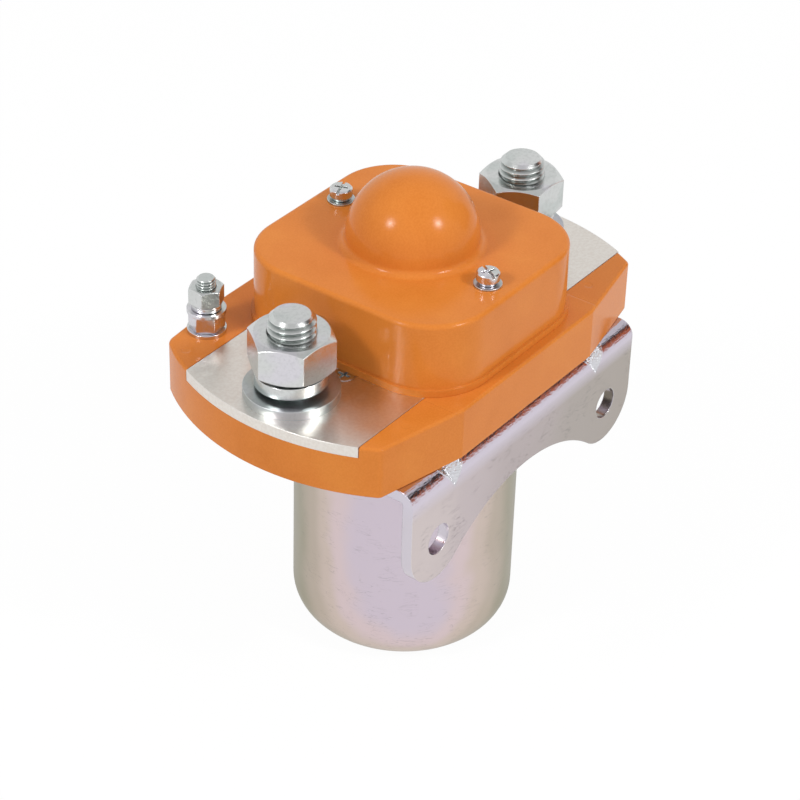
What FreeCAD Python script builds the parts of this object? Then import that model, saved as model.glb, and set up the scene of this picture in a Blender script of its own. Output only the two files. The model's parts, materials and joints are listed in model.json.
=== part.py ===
import FreeCAD, Part

import math
import os

import Sketcher

# A sealed direct-current contactor. The can stands on its flat bottom with its
# axis on Z, the two main terminals lie along X and the mounting flange faces -Y.
# Lengths are in millimetres.

Vector = FreeCAD.Vector

# Driving sizes: each becomes one cell of the sheet, with its name as the alias
SIZES = {
    # magnet can
    "can_radius": 29.5,
    "can_height": 76.8,
    "can_wall": 1.5,
    "can_corner": 10.4,
    "tab_width": 6.0,
    "tab_thickness": 1.0,
    "tab_rise": 0.6,
    # mounting bracket
    "bracket_thickness": 3.0,
    "bracket_bend": 1.0,
    "flange_gap": 4.8,
    "bracket_back_margin": 2.5,
    "bracket_back_corner": 6.0,
    "ear_radius": 11.5,
    "ear_hole_spacing": 75.3,
    "ear_hole_radius": 4.25,
    "ear_hole_drop": 19.3,
    "arch_rise": 2.1,
    "dart_spacing": 63.0,
    "dart_reach": 6.5,
    "dart_width": 9.8,
    "lead_hole_radius": 2.7,
    # cover moulding
    "cover_length": 65.0,
    "cover_width": 67.0,
    "cover_height": 20.1,
    "cover_corner": 16.5,
    "cover_wall": 2.8,
    "cover_roof": 3.0,
    "cover_edge": 1.2,
    "rim_height": 1.9,
    "rim_overhang": 0.7,
    "dome_radius": 17.0,
    "dome_foot": 2.0,
    "dome_neck": 0.1,
    "dome_wall": 2.8,
    "pillar_wall": 2.1,
    # base moulding
    "base_thickness": 14.2,
    "end_margin": 14.05,
    "front_margin": 2.8,
    "front_half": 28.5,
    "front_taper": 5.6,
    "front_corner": 2.0,
    "back_margin": 6.8,
    "back_half": 24.0,
    "back_taper": 2.2,
    "back_corner": 4.0,
    "base_edge": 0.8,
    "base_foot_edge": 0.3,
    "channel_width": 5.0,
    "channel_depth": 5.0,
    # terminal plates
    "plate_thickness": 3.0,
    "plate_width": 52.8,
    "plate_inset": 2.4,
    "tongue_width": 20.0,
    "tongue_lip": 1.0,
    "plate_screw_offset": 4.4,
    "plate_screw_pitch": 10.0,
    "plate_screw_length": 8.0,
    # main terminals
    "terminal_gap": 3.55,
    "stud_radius": 6.0,
    "stud_thread_radius": 5.43,
    "stud_height": 22.9,
    "stud_chamfer": 1.4,
    "bolt_flats": 18.0,
    "bolt_head": 5.0,
    "nut_flats": 19.4,
    "nut_height": 10.0,
    "washer_radius": 12.0,
    "washer_thickness": 2.5,
    "lock_section": 3.1,
    "lock_opening": 2.4,
    # coil terminals
    "coil_stud_offset": 7.2,
    "coil_stud_inset": 6.8,
    "coil_stud_radius": 2.5,
    "coil_thread_radius": 2.24,
    "coil_stud_end": 2.4,
    "coil_stud_chamfer": 0.5,
    "coil_head_radius": 4.0,
    "coil_head_height": 3.2,
    "coil_nut_flats": 8.0,
    "coil_nut_height": 4.7,
    "coil_washer_radius": 5.0,
    "coil_washer_thickness": 1.0,
    "coil_lock_section": 1.3,
    "coil_lock_opening": 0.3,
    # small screws
    "screw_radius": 1.5,
    "screw_head": 2.95,
    "cover_screw_offset": 5.0,
    "cover_screw_inset": 7.1,
    "cover_screw_head": 2.3,
    "cover_screw_reach": 7.0,
    "cover_screw_edge": 0.35,
    "cover_cross_depth": 1.25,
    "cover_slot_depth": 0.8,
    "cover_washer_radius": 3.6,
    "cover_washer_thickness": 0.5,
    "cover_lock_section": 0.8,
    "cover_lock_opening": 0.2,
    "frame_screw_x": 40.0,
    "frame_screw_y": 18.0,
    "frame_screw_radius": 2.0,
    "frame_screw_head": 3.9,
    "frame_screw_length": 11.0,
    # magnet system
    "plunger_radius": 11.0,
    "plunger_rise": 1.0,
    "core_top": 32.0,
    "core_flange_overhang": 3.0,
    "core_flange_height": 6.3,
    "shim_thickness": 0.4,
    "sleeve_wall": 0.7,
    "bobbin_tube": 1.3,
    "bobbin_flange": 2.2,
    "bobbin_gap": 2.5,
    "winding_inset": 1.1,
    "lead_radius": 0.9,
    "lead_circle": 20.0,
    "lead_bend": 3.0,
    "bore_radius": 5.0,
    "core_bore_depth": 8.0,
    "plunger_bore_depth": 10.0,
    "return_spring_wire": 0.5,
    "spring_play": 0.8,
    "buffer_thickness": 3.1,
    # contact system
    "tip_radius": 5.0,
    "tip_thickness": 2.0,
    "tip_x": 17.0,
    "contact_gap": 2.5,
    "overtravel": 1.0,
    "bridge_thickness": 4.0,
    "bridge_width": 16.0,
    "bridge_lip": 1.5,
    "bridge_corner": 3.0,
    "rod_radius": 4.0,
    "rod_neck_radius": 2.5,
    "rod_stub_radius": 3.0,
    "rod_stub_depth": 12.0,
    "rod_end": 1.4,
    "bush_radius": 8.0,
    "bush_flange": 2.1,
    "bush_neck_wall": 2.0,
    "insulator_thickness": 1.5,
    "contact_spring_height": 11.9,
    "contact_spring_wire": 0.6,
    "seat_thickness": 1.5,
    "seat_lip": 1.4,
    # clearances
    "fit": 0.05,
    "face_gap": 0.05,
    "bed_gap": 0.15,
    "hole_gap": 0.25,
    "thread_lead": 0.3,
    "wide_gap": 1.0,
}

# Hexagon corners of each nut, in degrees from X
MAIN_NUT_TURN = {"left": 52.7, "right": 58.6}
COIL_NUT_TURN = {"nut": 24.5, "lower_nut": 5.0}
SCREW_SLOT_TURN = {"front": 62.0, "rear": 20.0}

# Pieces on each coil stud, from the deck upward
COIL_STACKS = {
    "left": ["base_washer", "lower_nut", "top_washer", "spring_washer", "nut"],
    "right": ["base_washer", "spring_washer", "nut"],
}

SIDES = {"left": -1, "right": 1}
SPLIT_ANGLE = 14.0
# Radius of a nut's flat end, as a share of its width across flats
NUT_FACE_SHARE = 0.48
# Reach, half width and depth of a screw's cross recess, as shares of its head radius
CROSS_REACH_SHARE = 0.6
CROSS_HALF_SHARE = 0.13
CROSS_DEPTH_SHARE = 0.35
# A dart ends at its sides in its middle triangle shrunk to this share
DART_END_SHARE = 0.02
RETURN_SPRING_TURNS = 10
CONTACT_SPRING_TURNS = 3.5
TOLERANCE = 0.01


class Length:
    """A length together with the sheet formula that gives it."""

    def __init__(self, value, formula):
        self.value = value
        self.formula = formula

    def joined(self, other, sign, value):
        return Length(value, f"({self.formula} {sign} {length(other).formula})")

    def __add__(self, other):
        return self.joined(other, "+", self.value + length(other).value)

    def __sub__(self, other):
        return self.joined(other, "-", self.value - length(other).value)

    def __mul__(self, other):
        return self.joined(other, "*", self.value * length(other).value)

    def __truediv__(self, other):
        return self.joined(other, "/", self.value / length(other).value)

    def __neg__(self):
        return Length(-self.value, f"(0 - {self.formula})")


def length(thing):
    """A plain number as a Length; a Length stays as it is."""
    if isinstance(thing, Length):
        return thing
    return Length(float(thing), f"({float(thing):.9f})")


def root(thing):
    return Length(math.sqrt(thing.value), f"sqrt({thing.formula})")


class Sheet:
    """The driving sizes: each is read as an attribute and comes back as a Length."""

    def __init__(self, sizes):
        self.cells = doc.addObject("Spreadsheet::Sheet", "Sizes")
        for row, (alias, value) in enumerate(sizes.items(), start=1):
            self.cells.set(f"A{row}", alias)
            self.cells.set(f"B{row}", str(value))
            self.cells.setAlias(f"B{row}", alias)
        doc.recompute()

    def __getattr__(self, alias):
        return Length(float(self.cells.get(alias)), f"Sizes.{alias}")


doc = FreeCAD.newDocument("contactor")
S = Sheet(SIZES)

# Places that several pieces share, worked out from the sheet

# across the part
bracket_front = S.can_radius + S.flange_gap + S.bracket_thickness
bracket_back = S.can_radius + S.bracket_back_margin
bracket_half = S.ear_hole_spacing / 2 + S.ear_radius
rim_half_length = S.cover_length / 2 + S.rim_overhang
rim_half_width = S.cover_width / 2 + S.rim_overhang
stud_x = rim_half_length + S.terminal_gap + S.washer_radius
base_end = stud_x + S.end_margin
base_front = rim_half_width + S.front_margin
base_back = rim_half_width + S.back_margin
plate_inner = S.cover_length / 2 - S.plate_inset
plate_screw_x = plate_inner + S.plate_screw_offset
coil_stud_x = S.cover_length / 2 + S.coil_stud_offset
coil_stud_y = base_back - S.coil_stud_inset
coil_stud_reach = root(coil_stud_x * coil_stud_x + coil_stud_y * coil_stud_y)
cover_screw_y = S.cover_width / 2 - S.cover_screw_inset
bobbin_radius = S.can_radius - S.can_wall - S.bobbin_gap
winding_radius = bobbin_radius - S.winding_inset
sleeve_inner = S.plunger_radius + S.fit
sleeve_outer = sleeve_inner + S.sleeve_wall
bobbin_inner = sleeve_outer + S.fit
bobbin_outer = bobbin_inner + S.bobbin_tube
bush_neck = S.rod_neck_radius + S.bush_neck_wall
contact_spring_radius = bush_neck + S.contact_spring_wire

# up the part
bracket_top = S.can_height + S.bracket_thickness
hole_level = bracket_top - S.ear_hole_drop
deck = bracket_top + S.base_thickness
plate_floor = deck - S.plate_thickness
cover_top = deck + S.cover_height
main_nut_level = deck + S.washer_thickness + S.lock_section + S.lock_opening
dome_centre = cover_top + S.dome_foot + S.dome_neck
core_flange_top = S.can_wall + S.core_flange_height
travel = S.contact_gap + S.overtravel
plunger_bottom = S.core_top + S.shim_thickness + S.face_gap + travel
plunger_top = bracket_top + S.plunger_rise
buffer_bottom = plunger_top + S.face_gap * 2
buffer_top = buffer_bottom + S.buffer_thickness
fixed_tip_top = deck + S.tip_thickness
bridge_tip_bottom = fixed_tip_top + S.contact_gap + S.face_gap
bridge_bottom = bridge_tip_bottom + S.tip_thickness
bridge_top = bridge_bottom + S.bridge_thickness
bush_top = bridge_bottom - S.face_gap
bush_bottom = bush_top - S.bush_flange
contact_spring_foot = bridge_top + S.insulator_thickness + S.face_gap
seat_bottom = contact_spring_foot + S.contact_spring_height
rod_nut_bottom = seat_bottom + S.seat_thickness
rod_top = rod_nut_bottom + S.coil_nut_height + S.rod_end


# Sketches

def origin_plane(body, role):
    for feature in body.Origin.OriginFeatures:
        if feature.Role == role:
            return feature
    raise ValueError(role)


def new_sketch(body, role, offset=0):
    """A sketch on one of the body's own origin planes, moved along its normal."""
    sketch = body.newObject("Sketcher::SketchObject", "sketch")
    sketch.AttachmentSupport = [(origin_plane(body, role), "")]
    sketch.MapMode = "FlatFace"
    sketch.setExpression(".AttachmentOffset.Base.z", length(offset).formula)
    return sketch


def pin_point(sketch, element, point, x, y):
    """Fix a point of a sketch element by its two distances from the origin."""
    for kind, distance in (("DistanceX", length(x)), ("DistanceY", length(y))):
        rule = Sketcher.Constraint(kind, -1, 1, element, point, distance.value)
        number = sketch.addConstraint(rule)
        sketch.setExpression(f"Constraints[{number}]", distance.formula)


def set_radius(sketch, element, radius):
    number = sketch.addConstraint(Sketcher.Constraint("Radius", element, radius.value))
    sketch.setExpression(f"Constraints[{number}]", radius.formula)


def arc_between(start, end, radius):
    """The shorter arc from start to end: it turns left if the radius is positive."""
    chord = end - start
    side = Vector(-chord.y, chord.x, 0).normalize()
    reach = math.sqrt(max(radius**2 - (chord.Length / 2) ** 2, 0.0))
    centre = (start + end) / 2 + side * math.copysign(reach, radius)
    first, last = (start, end) if radius > 0 else (end, start)
    angles = [math.atan2(p.y - centre.y, p.x - centre.x) for p in (first, last)]
    circle = Part.Circle(centre, Vector(0, 0, 1), abs(radius))
    return Part.ArcOfCircle(circle, angles[0], angles[1])


def add_outline(sketch, corners, arcs=None):
    """A closed loop through the corners. arcs gives the radius of the side that
    starts at a corner, positive where that side turns left."""
    arcs = arcs or {}
    first = sketch.GeometryCount
    count = len(corners)
    points = [Vector(length(x).value, length(y).value, 0) for x, y in corners]
    starts = []
    for i in range(count):
        start, end = points[i], points[(i + 1) % count]
        if i in arcs:
            sketch.addGeometry(arc_between(start, end, arcs[i].value), False)
        else:
            sketch.addGeometry(Part.LineSegment(start, end), False)
        starts.append(2 if i in arcs and arcs[i].value < 0 else 1)
    for i in range(count):
        after = (i + 1) % count
        ends = (first + i, 3 - starts[i], first + after, starts[after])
        sketch.addConstraint(Sketcher.Constraint("Coincident", *ends))
    for i, (x, y) in enumerate(corners):
        pin_point(sketch, first + i, starts[i], x, y)
    for i, radius in arcs.items():
        set_radius(sketch, first + i, radius if radius.value > 0 else -radius)


def add_circle(sketch, x, y, radius):
    element = sketch.GeometryCount
    centre = Vector(length(x).value, length(y).value, 0)
    sketch.addGeometry(Part.Circle(centre, Vector(0, 0, 1), radius.value), False)
    pin_point(sketch, element, 3, x, y)
    set_radius(sketch, element, radius)


def add_rectangle(sketch, left, right, low, high):
    add_outline(sketch, [(left, low), (right, low), (right, high), (left, high)])


def add_rounded_rectangle(sketch, half_length, half_width, corner):
    inner_x = half_length - corner
    inner_y = half_width - corner
    corners = [
        (inner_x, -half_width),
        (half_length, -inner_y),
        (half_length, inner_y),
        (inner_x, half_width),
        (-inner_x, half_width),
        (-half_length, inner_y),
        (-half_length, -inner_y),
        (-inner_x, -half_width),
    ]
    add_outline(sketch, corners, {0: corner, 2: corner, 4: corner, 6: corner})


def corner_circle(flats):
    """Radius to the corners of a hexagon, from its width across flats."""
    return flats / 2 / math.cos(math.radians(30))


def add_hexagon(sketch, flats, x=0, turn=0):
    radius = corner_circle(flats)
    corners = []
    for i in range(6):
        angle = math.radians(turn + 60 * i)
        corners.append((radius * math.cos(angle) + x, radius * math.sin(angle)))
    add_outline(sketch, corners)


def add_cross(sketch, arm, half):
    """A cross with four arms of the same reach and width."""
    quarter = [(arm, -half), (arm, half), (half, half)]
    corners = []
    for _ in range(4):
        corners += quarter
        quarter = [(-y, x) for x, y in quarter]
    add_outline(sketch, corners)


# Features

def new_body(name):
    return doc.addObject("PartDesign::Body", name)


def pad(body, sketch, depth, middle=False):
    feature = body.newObject("PartDesign::Pad", "pad")
    feature.Profile = sketch
    feature.SideType = "Symmetric" if middle else "One side"
    feature.setExpression("Length", length(depth).formula)


def pocket(body, sketch, depth, upward=False):
    """Cut against the sketch's normal, or along it where upward is set."""
    feature = body.newObject("PartDesign::Pocket", "pocket")
    feature.Profile = sketch
    feature.Reversed = upward
    feature.setExpression("Length", length(depth).formula)


def turn_profile(body, corners, arcs=None, cut=False):
    """Turn a half section, given as radius and height, once round the Z axis."""
    sketch = new_sketch(body, "XZ_Plane")
    add_outline(sketch, corners, arcs)
    kind = "PartDesign::Groove" if cut else "PartDesign::Revolution"
    feature = body.newObject(kind, "turned")
    feature.Profile = sketch
    feature.ReferenceAxis = (sketch, ["V_Axis"])
    feature.Angle = 360


def loft(body, kind, sections):
    feature = body.newObject(f"PartDesign::{kind}", "loft")
    feature.Profile = sections[0]
    feature.Sections = sections[1:]
    feature.Ruled = True


def round_edges(body, radius, wanted):
    """Round the edges of the body's last feature that the test picks out."""
    doc.recompute()
    base = body.Tip
    numbered = enumerate(base.Shape.Edges, start=1)
    names = [f"Edge{number}" for number, edge in numbered if wanted(edge.BoundBox)]
    feature = body.newObject("PartDesign::Fillet", "rounding")
    feature.Base = (base, names)
    feature.setExpression("Radius", radius.formula)


def is_upright(box):
    return box.XLength < TOLERANCE and box.YLength < TOLERANCE


def is_level(box):
    return box.ZLength < TOLERANCE


def place(thing, x=0, y=0, z=0):
    for axis, distance in zip("xyz", (x, y, z)):
        thing.setExpression(f".Placement.Base.{axis}", length(distance).formula)
    return thing


def turn_about_z(thing, degrees):
    thing.Placement = FreeCAD.Placement(Vector(), FreeCAD.Rotation(Vector(0, 0, 1), degrees))
    return thing


def turned(name, corners, arcs=None):
    body = new_body(name)
    turn_profile(body, corners, arcs)
    return body


def ring(name, inner, outer, low, high):
    """A plain turned ring, or a washer."""
    return turned(name, [(inner, low), (outer, low), (outer, high), (inner, high)])


def disc(name, radius, height):
    return turned(name, [(0, 0), (radius, 0), (radius, height), (0, height)])


def group(name, pieces):
    """Like fasteners that share one node, each a solid of its own."""
    holder = doc.addObject("Part::Compound", name)
    holder.Links = pieces
    return holder


def plain(name, shape):
    """A piece whose shape is worked out here, such as a coil spring."""
    feature = doc.addObject("Part::Feature", name)
    feature.Shape = shape
    return feature


# Magnet can

def tab_boxes(gap):
    """The plan of the can's four staked tabs, each grown by the gap."""
    middle = S.can_radius - S.can_wall / 2
    near = middle - S.tab_thickness / 2 - gap
    far = middle + S.tab_thickness / 2 + gap
    half = S.tab_width / 2 + gap
    return [
        (near, far, -half, half),
        (-far, -near, -half, half),
        (-half, half, near, far),
        (-half, half, -far, -near),
    ]


def make_can():
    """Deep-drawn steel cup with a rounded bottom edge and four staked tabs."""
    body = new_body("magnet_can")
    inner = S.can_radius - S.can_wall
    flat = S.can_radius - S.can_corner
    inner_corner = S.can_corner - S.can_wall
    corners = [
        (0, 0),
        (flat, 0),
        (S.can_radius, S.can_corner),
        (S.can_radius, S.can_height),
        (inner, S.can_height),
        (inner, S.can_corner),
        (flat, S.can_wall),
        (0, S.can_wall),
    ]
    turn_profile(body, corners, {1: S.can_corner, 5: -inner_corner})
    sketch = new_sketch(body, "XY_Plane", S.can_height)
    for box in tab_boxes(length(0)):
        add_rectangle(sketch, *box)
    pad(body, sketch, S.bracket_thickness + S.tab_rise)
    return body


# Mounting bracket, which is also the top plate of the magnet

def make_bracket():
    body = new_body("mounting_bracket")
    pad_bracket_section(body)
    cut_flange_outline(body)
    round_edges(body, S.bracket_back_corner, is_back_corner)
    cut_plate_holes(body)
    for side in SIDES.values():
        press_dart(body, S.dart_spacing / 2 * side)
    cut_ear_holes(body)
    return body


def is_back_corner(box):
    return is_upright(box) and box.YMax > bracket_back.value - TOLERANCE


def pad_bracket_section(body):
    """The bent strip's L section, drawn in Y and Z and run along X."""
    outer = S.bracket_bend + S.bracket_thickness
    low = hole_level - S.ear_radius
    back_face = S.bracket_thickness - bracket_front
    corners = [
        (-bracket_front, low),
        (back_face, low),
        (back_face, S.can_height - S.bracket_bend),
        (back_face + S.bracket_bend, S.can_height),
        (bracket_back, S.can_height),
        (bracket_back, bracket_top),
        (outer - bracket_front, bracket_top),
        (-bracket_front, bracket_top - outer),
    ]
    sketch = new_sketch(body, "YZ_Plane")
    add_outline(sketch, corners, {2: -S.bracket_bend, 6: outer})
    pad(body, sketch, bracket_half * 2, middle=True)


def cut_flange_outline(body):
    """Cut the two round ears and the arch between them. The arch's circle
    touches both ear circles, which fixes its radius."""
    hole_x = S.ear_hole_spacing / 2
    ear = S.ear_radius
    rise = S.arch_rise
    arch = (hole_x * hole_x + rise * rise - ear * ear) / ((ear + rise) * 2)
    arch_level = hole_level + rise - arch
    share = arch / (arch + ear)
    touch_x = hole_x * share
    touch_z = arch_level + (hole_level - arch_level) * share
    low = hole_level - ear
    beyond = bracket_half + ear
    corners = [
        (-beyond, hole_level),
        (-bracket_half, hole_level),
        (-hole_x, low),
        (-touch_x, touch_z),
        (touch_x, touch_z),
        (hole_x, low),
        (bracket_half, hole_level),
        (beyond, hole_level),
        (beyond, low - ear),
        (-beyond, low - ear),
    ]
    sketch = new_sketch(body, "XZ_Plane", bracket_front + S.wide_gap)
    add_outline(sketch, corners, {1: ear, 2: ear, 3: -arch, 4: ear, 5: ear})
    pocket(body, sketch, S.bracket_thickness + S.bracket_bend + S.wide_gap * 2)


def cut_ear_holes(body):
    sketch = new_sketch(body, "XZ_Plane", bracket_front + S.wide_gap)
    for side in SIDES.values():
        add_circle(sketch, S.ear_hole_spacing / 2 * side, hole_level, S.ear_hole_radius)
    pocket(body, sketch, S.bracket_thickness + S.wide_gap * 2)


def cut_plate_holes(body):
    """Holes in the level plate: plunger, coil leads, frame screws, can tabs."""
    sketch = new_sketch(body, "XY_Plane", bracket_top + S.wide_gap)
    add_circle(sketch, 0, 0, S.plunger_radius + S.hole_gap)
    for x, y in lead_points():
        add_circle(sketch, x, y, S.lead_hole_radius)
    for x, y in frame_screw_points():
        add_circle(sketch, x, y, S.frame_screw_radius + S.bed_gap)
    for box in tab_boxes(S.bed_gap):
        add_rectangle(sketch, *box)
    pocket(body, sketch, S.bracket_thickness + S.wide_gap * 2)
    rise = S.frame_screw_head - S.frame_screw_radius
    for x, y in frame_screw_points():
        wide = new_sketch(body, "XY_Plane", S.can_height)
        add_circle(wide, x, y, S.frame_screw_head + S.bed_gap)
        narrow = new_sketch(body, "XY_Plane", S.can_height + rise)
        add_circle(narrow, x, y, S.frame_screw_radius + S.bed_gap)
        loft(body, "SubtractiveLoft", [wide, narrow])


def press_dart(body, x):
    """A V pressed into the bend: a notch outside and its mirror rib inside,
    with the sheet's own thickness between them."""
    reach = S.dart_reach
    rib_reach = reach - S.bracket_thickness * (2 - math.sqrt(2))
    back_face = S.bracket_thickness - bracket_front
    rib = [
        (back_face, S.can_height),
        (back_face, S.can_height - rib_reach),
        (back_face + rib_reach, S.can_height),
    ]
    loft_dart(body, "AdditiveLoft", x, rib)
    notch = [
        (-bracket_front - S.hole_gap, bracket_top + S.hole_gap),
        (-bracket_front - S.hole_gap, bracket_top - reach - S.hole_gap),
        (reach + S.hole_gap - bracket_front, bracket_top + S.hole_gap),
    ]
    loft_dart(body, "SubtractiveLoft", x, notch)


def loft_dart(body, kind, x, triangle):
    """Two lofts, each from the full triangle in the dart's middle plane to a
    tiny one at its side."""
    corner_y, corner_z = triangle[0]
    for side in SIDES.values():
        sections = []
        for share, shift in ((1.0, length(0)), (DART_END_SHARE, S.dart_width / 2 * side)):
            sketch = new_sketch(body, "YZ_Plane", x + shift)
            scaled = []
            for y, z in triangle:
                scaled.append((corner_y + (y - corner_y) * share, corner_z + (z - corner_z) * share))
            add_outline(sketch, scaled)
            sections.append(sketch)
        loft(body, kind, sections)


# Base moulding

def make_base():
    body = new_body("base_moulding")
    sketch = new_sketch(body, "XY_Plane", bracket_top)
    add_outline(sketch, base_corners(), {0: base_end, 4: base_end})
    pad(body, sketch, S.base_thickness)
    round_edges(body, S.front_corner, is_front_corner)
    round_edges(body, S.back_corner, is_rear_corner)
    round_edges(body, S.base_edge, is_deck_edge)
    round_edges(body, S.base_foot_edge, is_foot_edge)
    cut_plate_beds(body)
    cut_deck_holes(body)
    cut_base_underside(body)
    return body


def base_corners():
    """The base's plan: two ends on one circle about the can's axis, with
    tapered sides between them that are straight in the middle."""
    front = base_front - S.front_taper
    back = base_back - S.back_taper
    front_x = root(base_end * base_end - front * front)
    back_x = root(base_end * base_end - back * back)
    return [
        (front_x, -front),
        (back_x, back),
        (S.back_half, base_back),
        (-S.back_half, base_back),
        (-back_x, back),
        (-front_x, -front),
        (-S.front_half, -base_front),
        (S.front_half, -base_front),
    ]


def is_front_corner(box):
    return is_upright(box) and box.YMax < 0 and abs(box.XMax) > S.front_half.value + 1


def is_rear_corner(box):
    return is_upright(box) and box.YMax > 0 and abs(box.XMax) > S.back_half.value + 1


def is_deck_edge(box):
    return is_level(box) and box.ZMin > deck.value - TOLERANCE


def is_foot_edge(box):
    return is_level(box) and box.ZMax < bracket_top.value + TOLERANCE


def plate_corners(side, gap, end):
    """One terminal plate seen from above: wide outside, a tongue inside."""
    half = S.plate_width / 2 + gap
    tongue = S.tongue_width / 2 + gap
    wide_from = plate_inner - gap
    tongue_from = S.tip_x - S.tip_radius - S.tongue_lip - gap
    corners = [
        (end, half),
        (wide_from, half),
        (wide_from, tongue),
        (tongue_from, tongue),
        (tongue_from, -tongue),
        (wide_from, -tongue),
        (wide_from, -half),
        (end, -half),
    ]
    return [(x * side, y * side) for x, y in corners]


def plate_screw_points(side):
    half = S.plate_screw_pitch / 2
    return [(plate_screw_x * side, half), (plate_screw_x * side, -half)]


def cut_plate_beds(body):
    """The open-ended beds for the terminal plates, with hexagonal pockets
    below them that keep the bolt heads from turning."""
    for side in SIDES.values():
        bed = new_sketch(body, "XY_Plane", plate_floor)
        add_outline(bed, plate_corners(side, S.bed_gap, base_end + S.wide_gap))
        pocket(body, bed, S.plate_thickness + S.wide_gap, upward=True)
        heads = new_sketch(body, "XY_Plane", plate_floor)
        add_hexagon(heads, S.bolt_flats + S.bed_gap * 2, stud_x * side)
        pocket(body, heads, S.bolt_head + S.bed_gap)
        clamps = new_sketch(body, "XY_Plane", plate_floor)
        for x, y in plate_screw_points(side):
            add_circle(clamps, x, y, S.screw_radius + S.fit)
        pocket(body, clamps, S.plate_screw_length - S.plate_thickness + S.hole_gap)


def cut_deck_holes(body):
    """The rod hole and coil stud holes go right through, the screw holes stop."""
    through = new_sketch(body, "XY_Plane", deck + S.wide_gap)
    add_circle(through, 0, 0, S.rod_radius + S.hole_gap * 2)
    for side in SIDES.values():
        add_circle(through, coil_stud_x * side, coil_stud_y, S.coil_stud_radius + S.fit)
    pocket(body, through, S.base_thickness + S.wide_gap * 2)
    screws = new_sketch(body, "XY_Plane", deck)
    for x, y in cover_screw_points():
        add_circle(screws, x, y, S.screw_radius + S.fit)
    pocket(body, screws, S.cover_screw_reach + S.hole_gap)


def cut_base_underside(body):
    cut_up(body, [(0, 0)], S.plunger_radius + S.wide_gap, buffer_top - bracket_top)
    heads = [(coil_stud_x * side, coil_stud_y) for side in SIDES.values()]
    cut_up(body, heads, S.coil_head_radius + S.hole_gap, S.channel_depth)
    for side in SIDES.values():
        cut_lead_channel(body, side)
    depth = S.frame_screw_length - S.bracket_thickness + S.hole_gap
    cut_up(body, frame_screw_points(), S.frame_screw_radius + S.fit, depth)
    tabs = new_sketch(body, "XY_Plane", bracket_top)
    for box in tab_boxes(S.hole_gap):
        add_rectangle(tabs, *box)
    pocket(body, tabs, S.tab_rise + S.hole_gap, upward=True)


def cut_up(body, points, radius, depth):
    """Round holes of one size, cut upward from the base's underside."""
    sketch = new_sketch(body, "XY_Plane", bracket_top)
    for x, y in points:
        add_circle(sketch, x, y, radius)
    pocket(body, sketch, depth, upward=True)


def cut_lead_channel(body, side):
    """A straight groove from the coil's lead-out to the stud's head."""
    cosine = coil_stud_x / coil_stud_reach * side
    sine = coil_stud_y / coil_stud_reach
    half = S.channel_width / 2
    start = S.lead_circle - half
    corners = []
    for along, across in (
        (start, -half),
        (coil_stud_reach, -half),
        (coil_stud_reach, half),
        (start, half),
    ):
        corners.append((along * cosine - across * sine, along * sine + across * cosine))
    channel = new_sketch(body, "XY_Plane", bracket_top)
    add_outline(channel, corners)
    pocket(body, channel, S.channel_depth, upward=True)


def lead_points():
    """Where the coil leads rise, on the lines from the axis to the studs."""
    x = coil_stud_x / coil_stud_reach * S.lead_circle
    y = coil_stud_y / coil_stud_reach * S.lead_circle
    return [(-x, y), (x, y)]


def frame_screw_points():
    x, y = S.frame_screw_x, S.frame_screw_y
    return [(x, y), (-x, y), (x, -y), (-x, -y)]


def cover_screw_points():
    return [(-S.cover_screw_offset, -cover_screw_y), (S.cover_screw_offset, cover_screw_y)]


# Cover moulding

def make_cover():
    """Rounded box with a flared foot rim and a dome over the rod's end."""
    body = new_body("cover_moulding")
    half_length, half_width = S.cover_length / 2, S.cover_width / 2
    walls = new_sketch(body, "XY_Plane", deck)
    add_rounded_rectangle(walls, half_length, half_width, S.cover_corner)
    pad(body, walls, S.cover_height)
    round_edges(body, S.cover_edge, is_cover_top)
    rim = new_sketch(body, "XY_Plane", deck)
    over = S.rim_overhang
    add_rounded_rectangle(rim, rim_half_length, rim_half_width, S.cover_corner + over)
    pad(body, rim, S.rim_height)
    add_dome(body)
    hollow = new_sketch(body, "XY_Plane", deck)
    wall = S.cover_wall
    add_rounded_rectangle(hollow, half_length - wall, half_width - wall, S.cover_corner - wall)
    pocket(body, hollow, S.cover_height - S.cover_roof, upward=True)
    cut_dome_hollow(body)
    pillars = new_sketch(body, "XY_Plane", deck)
    for x, y in cover_screw_points():
        add_circle(pillars, x, y, S.screw_radius + S.pillar_wall)
    pad(body, pillars, S.cover_height - S.cover_roof / 2)
    holes = new_sketch(body, "XY_Plane", deck)
    for x, y in cover_screw_points():
        add_circle(holes, x, y, S.screw_radius + S.bed_gap)
    pocket(body, holes, S.cover_height + S.wide_gap, upward=True)
    return body


def is_cover_top(box):
    return is_level(box) and box.ZMax > cover_top.value - TOLERANCE


def add_dome(body):
    """Half a ball with a hollow fillet where it meets the roof."""
    radius = S.dome_radius
    foot = S.dome_foot
    inside_roof = cover_top - S.cover_roof / 2
    corners = [
        (0, inside_roof),
        (radius + foot, inside_roof),
        (radius + foot, cover_top),
        (radius, cover_top + foot),
        (radius, dome_centre),
        (0, dome_centre + radius),
    ]
    turn_profile(body, corners, {2: -foot, 4: radius})


def cut_dome_hollow(body):
    inner = S.dome_radius - S.dome_wall
    corners = [
        (0, deck + S.rim_height),
        (inner, deck + S.rim_height),
        (inner, dome_centre),
        (0, dome_centre + inner),
    ]
    turn_profile(body, corners, {2: inner}, cut=True)


# Fasteners

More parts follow.
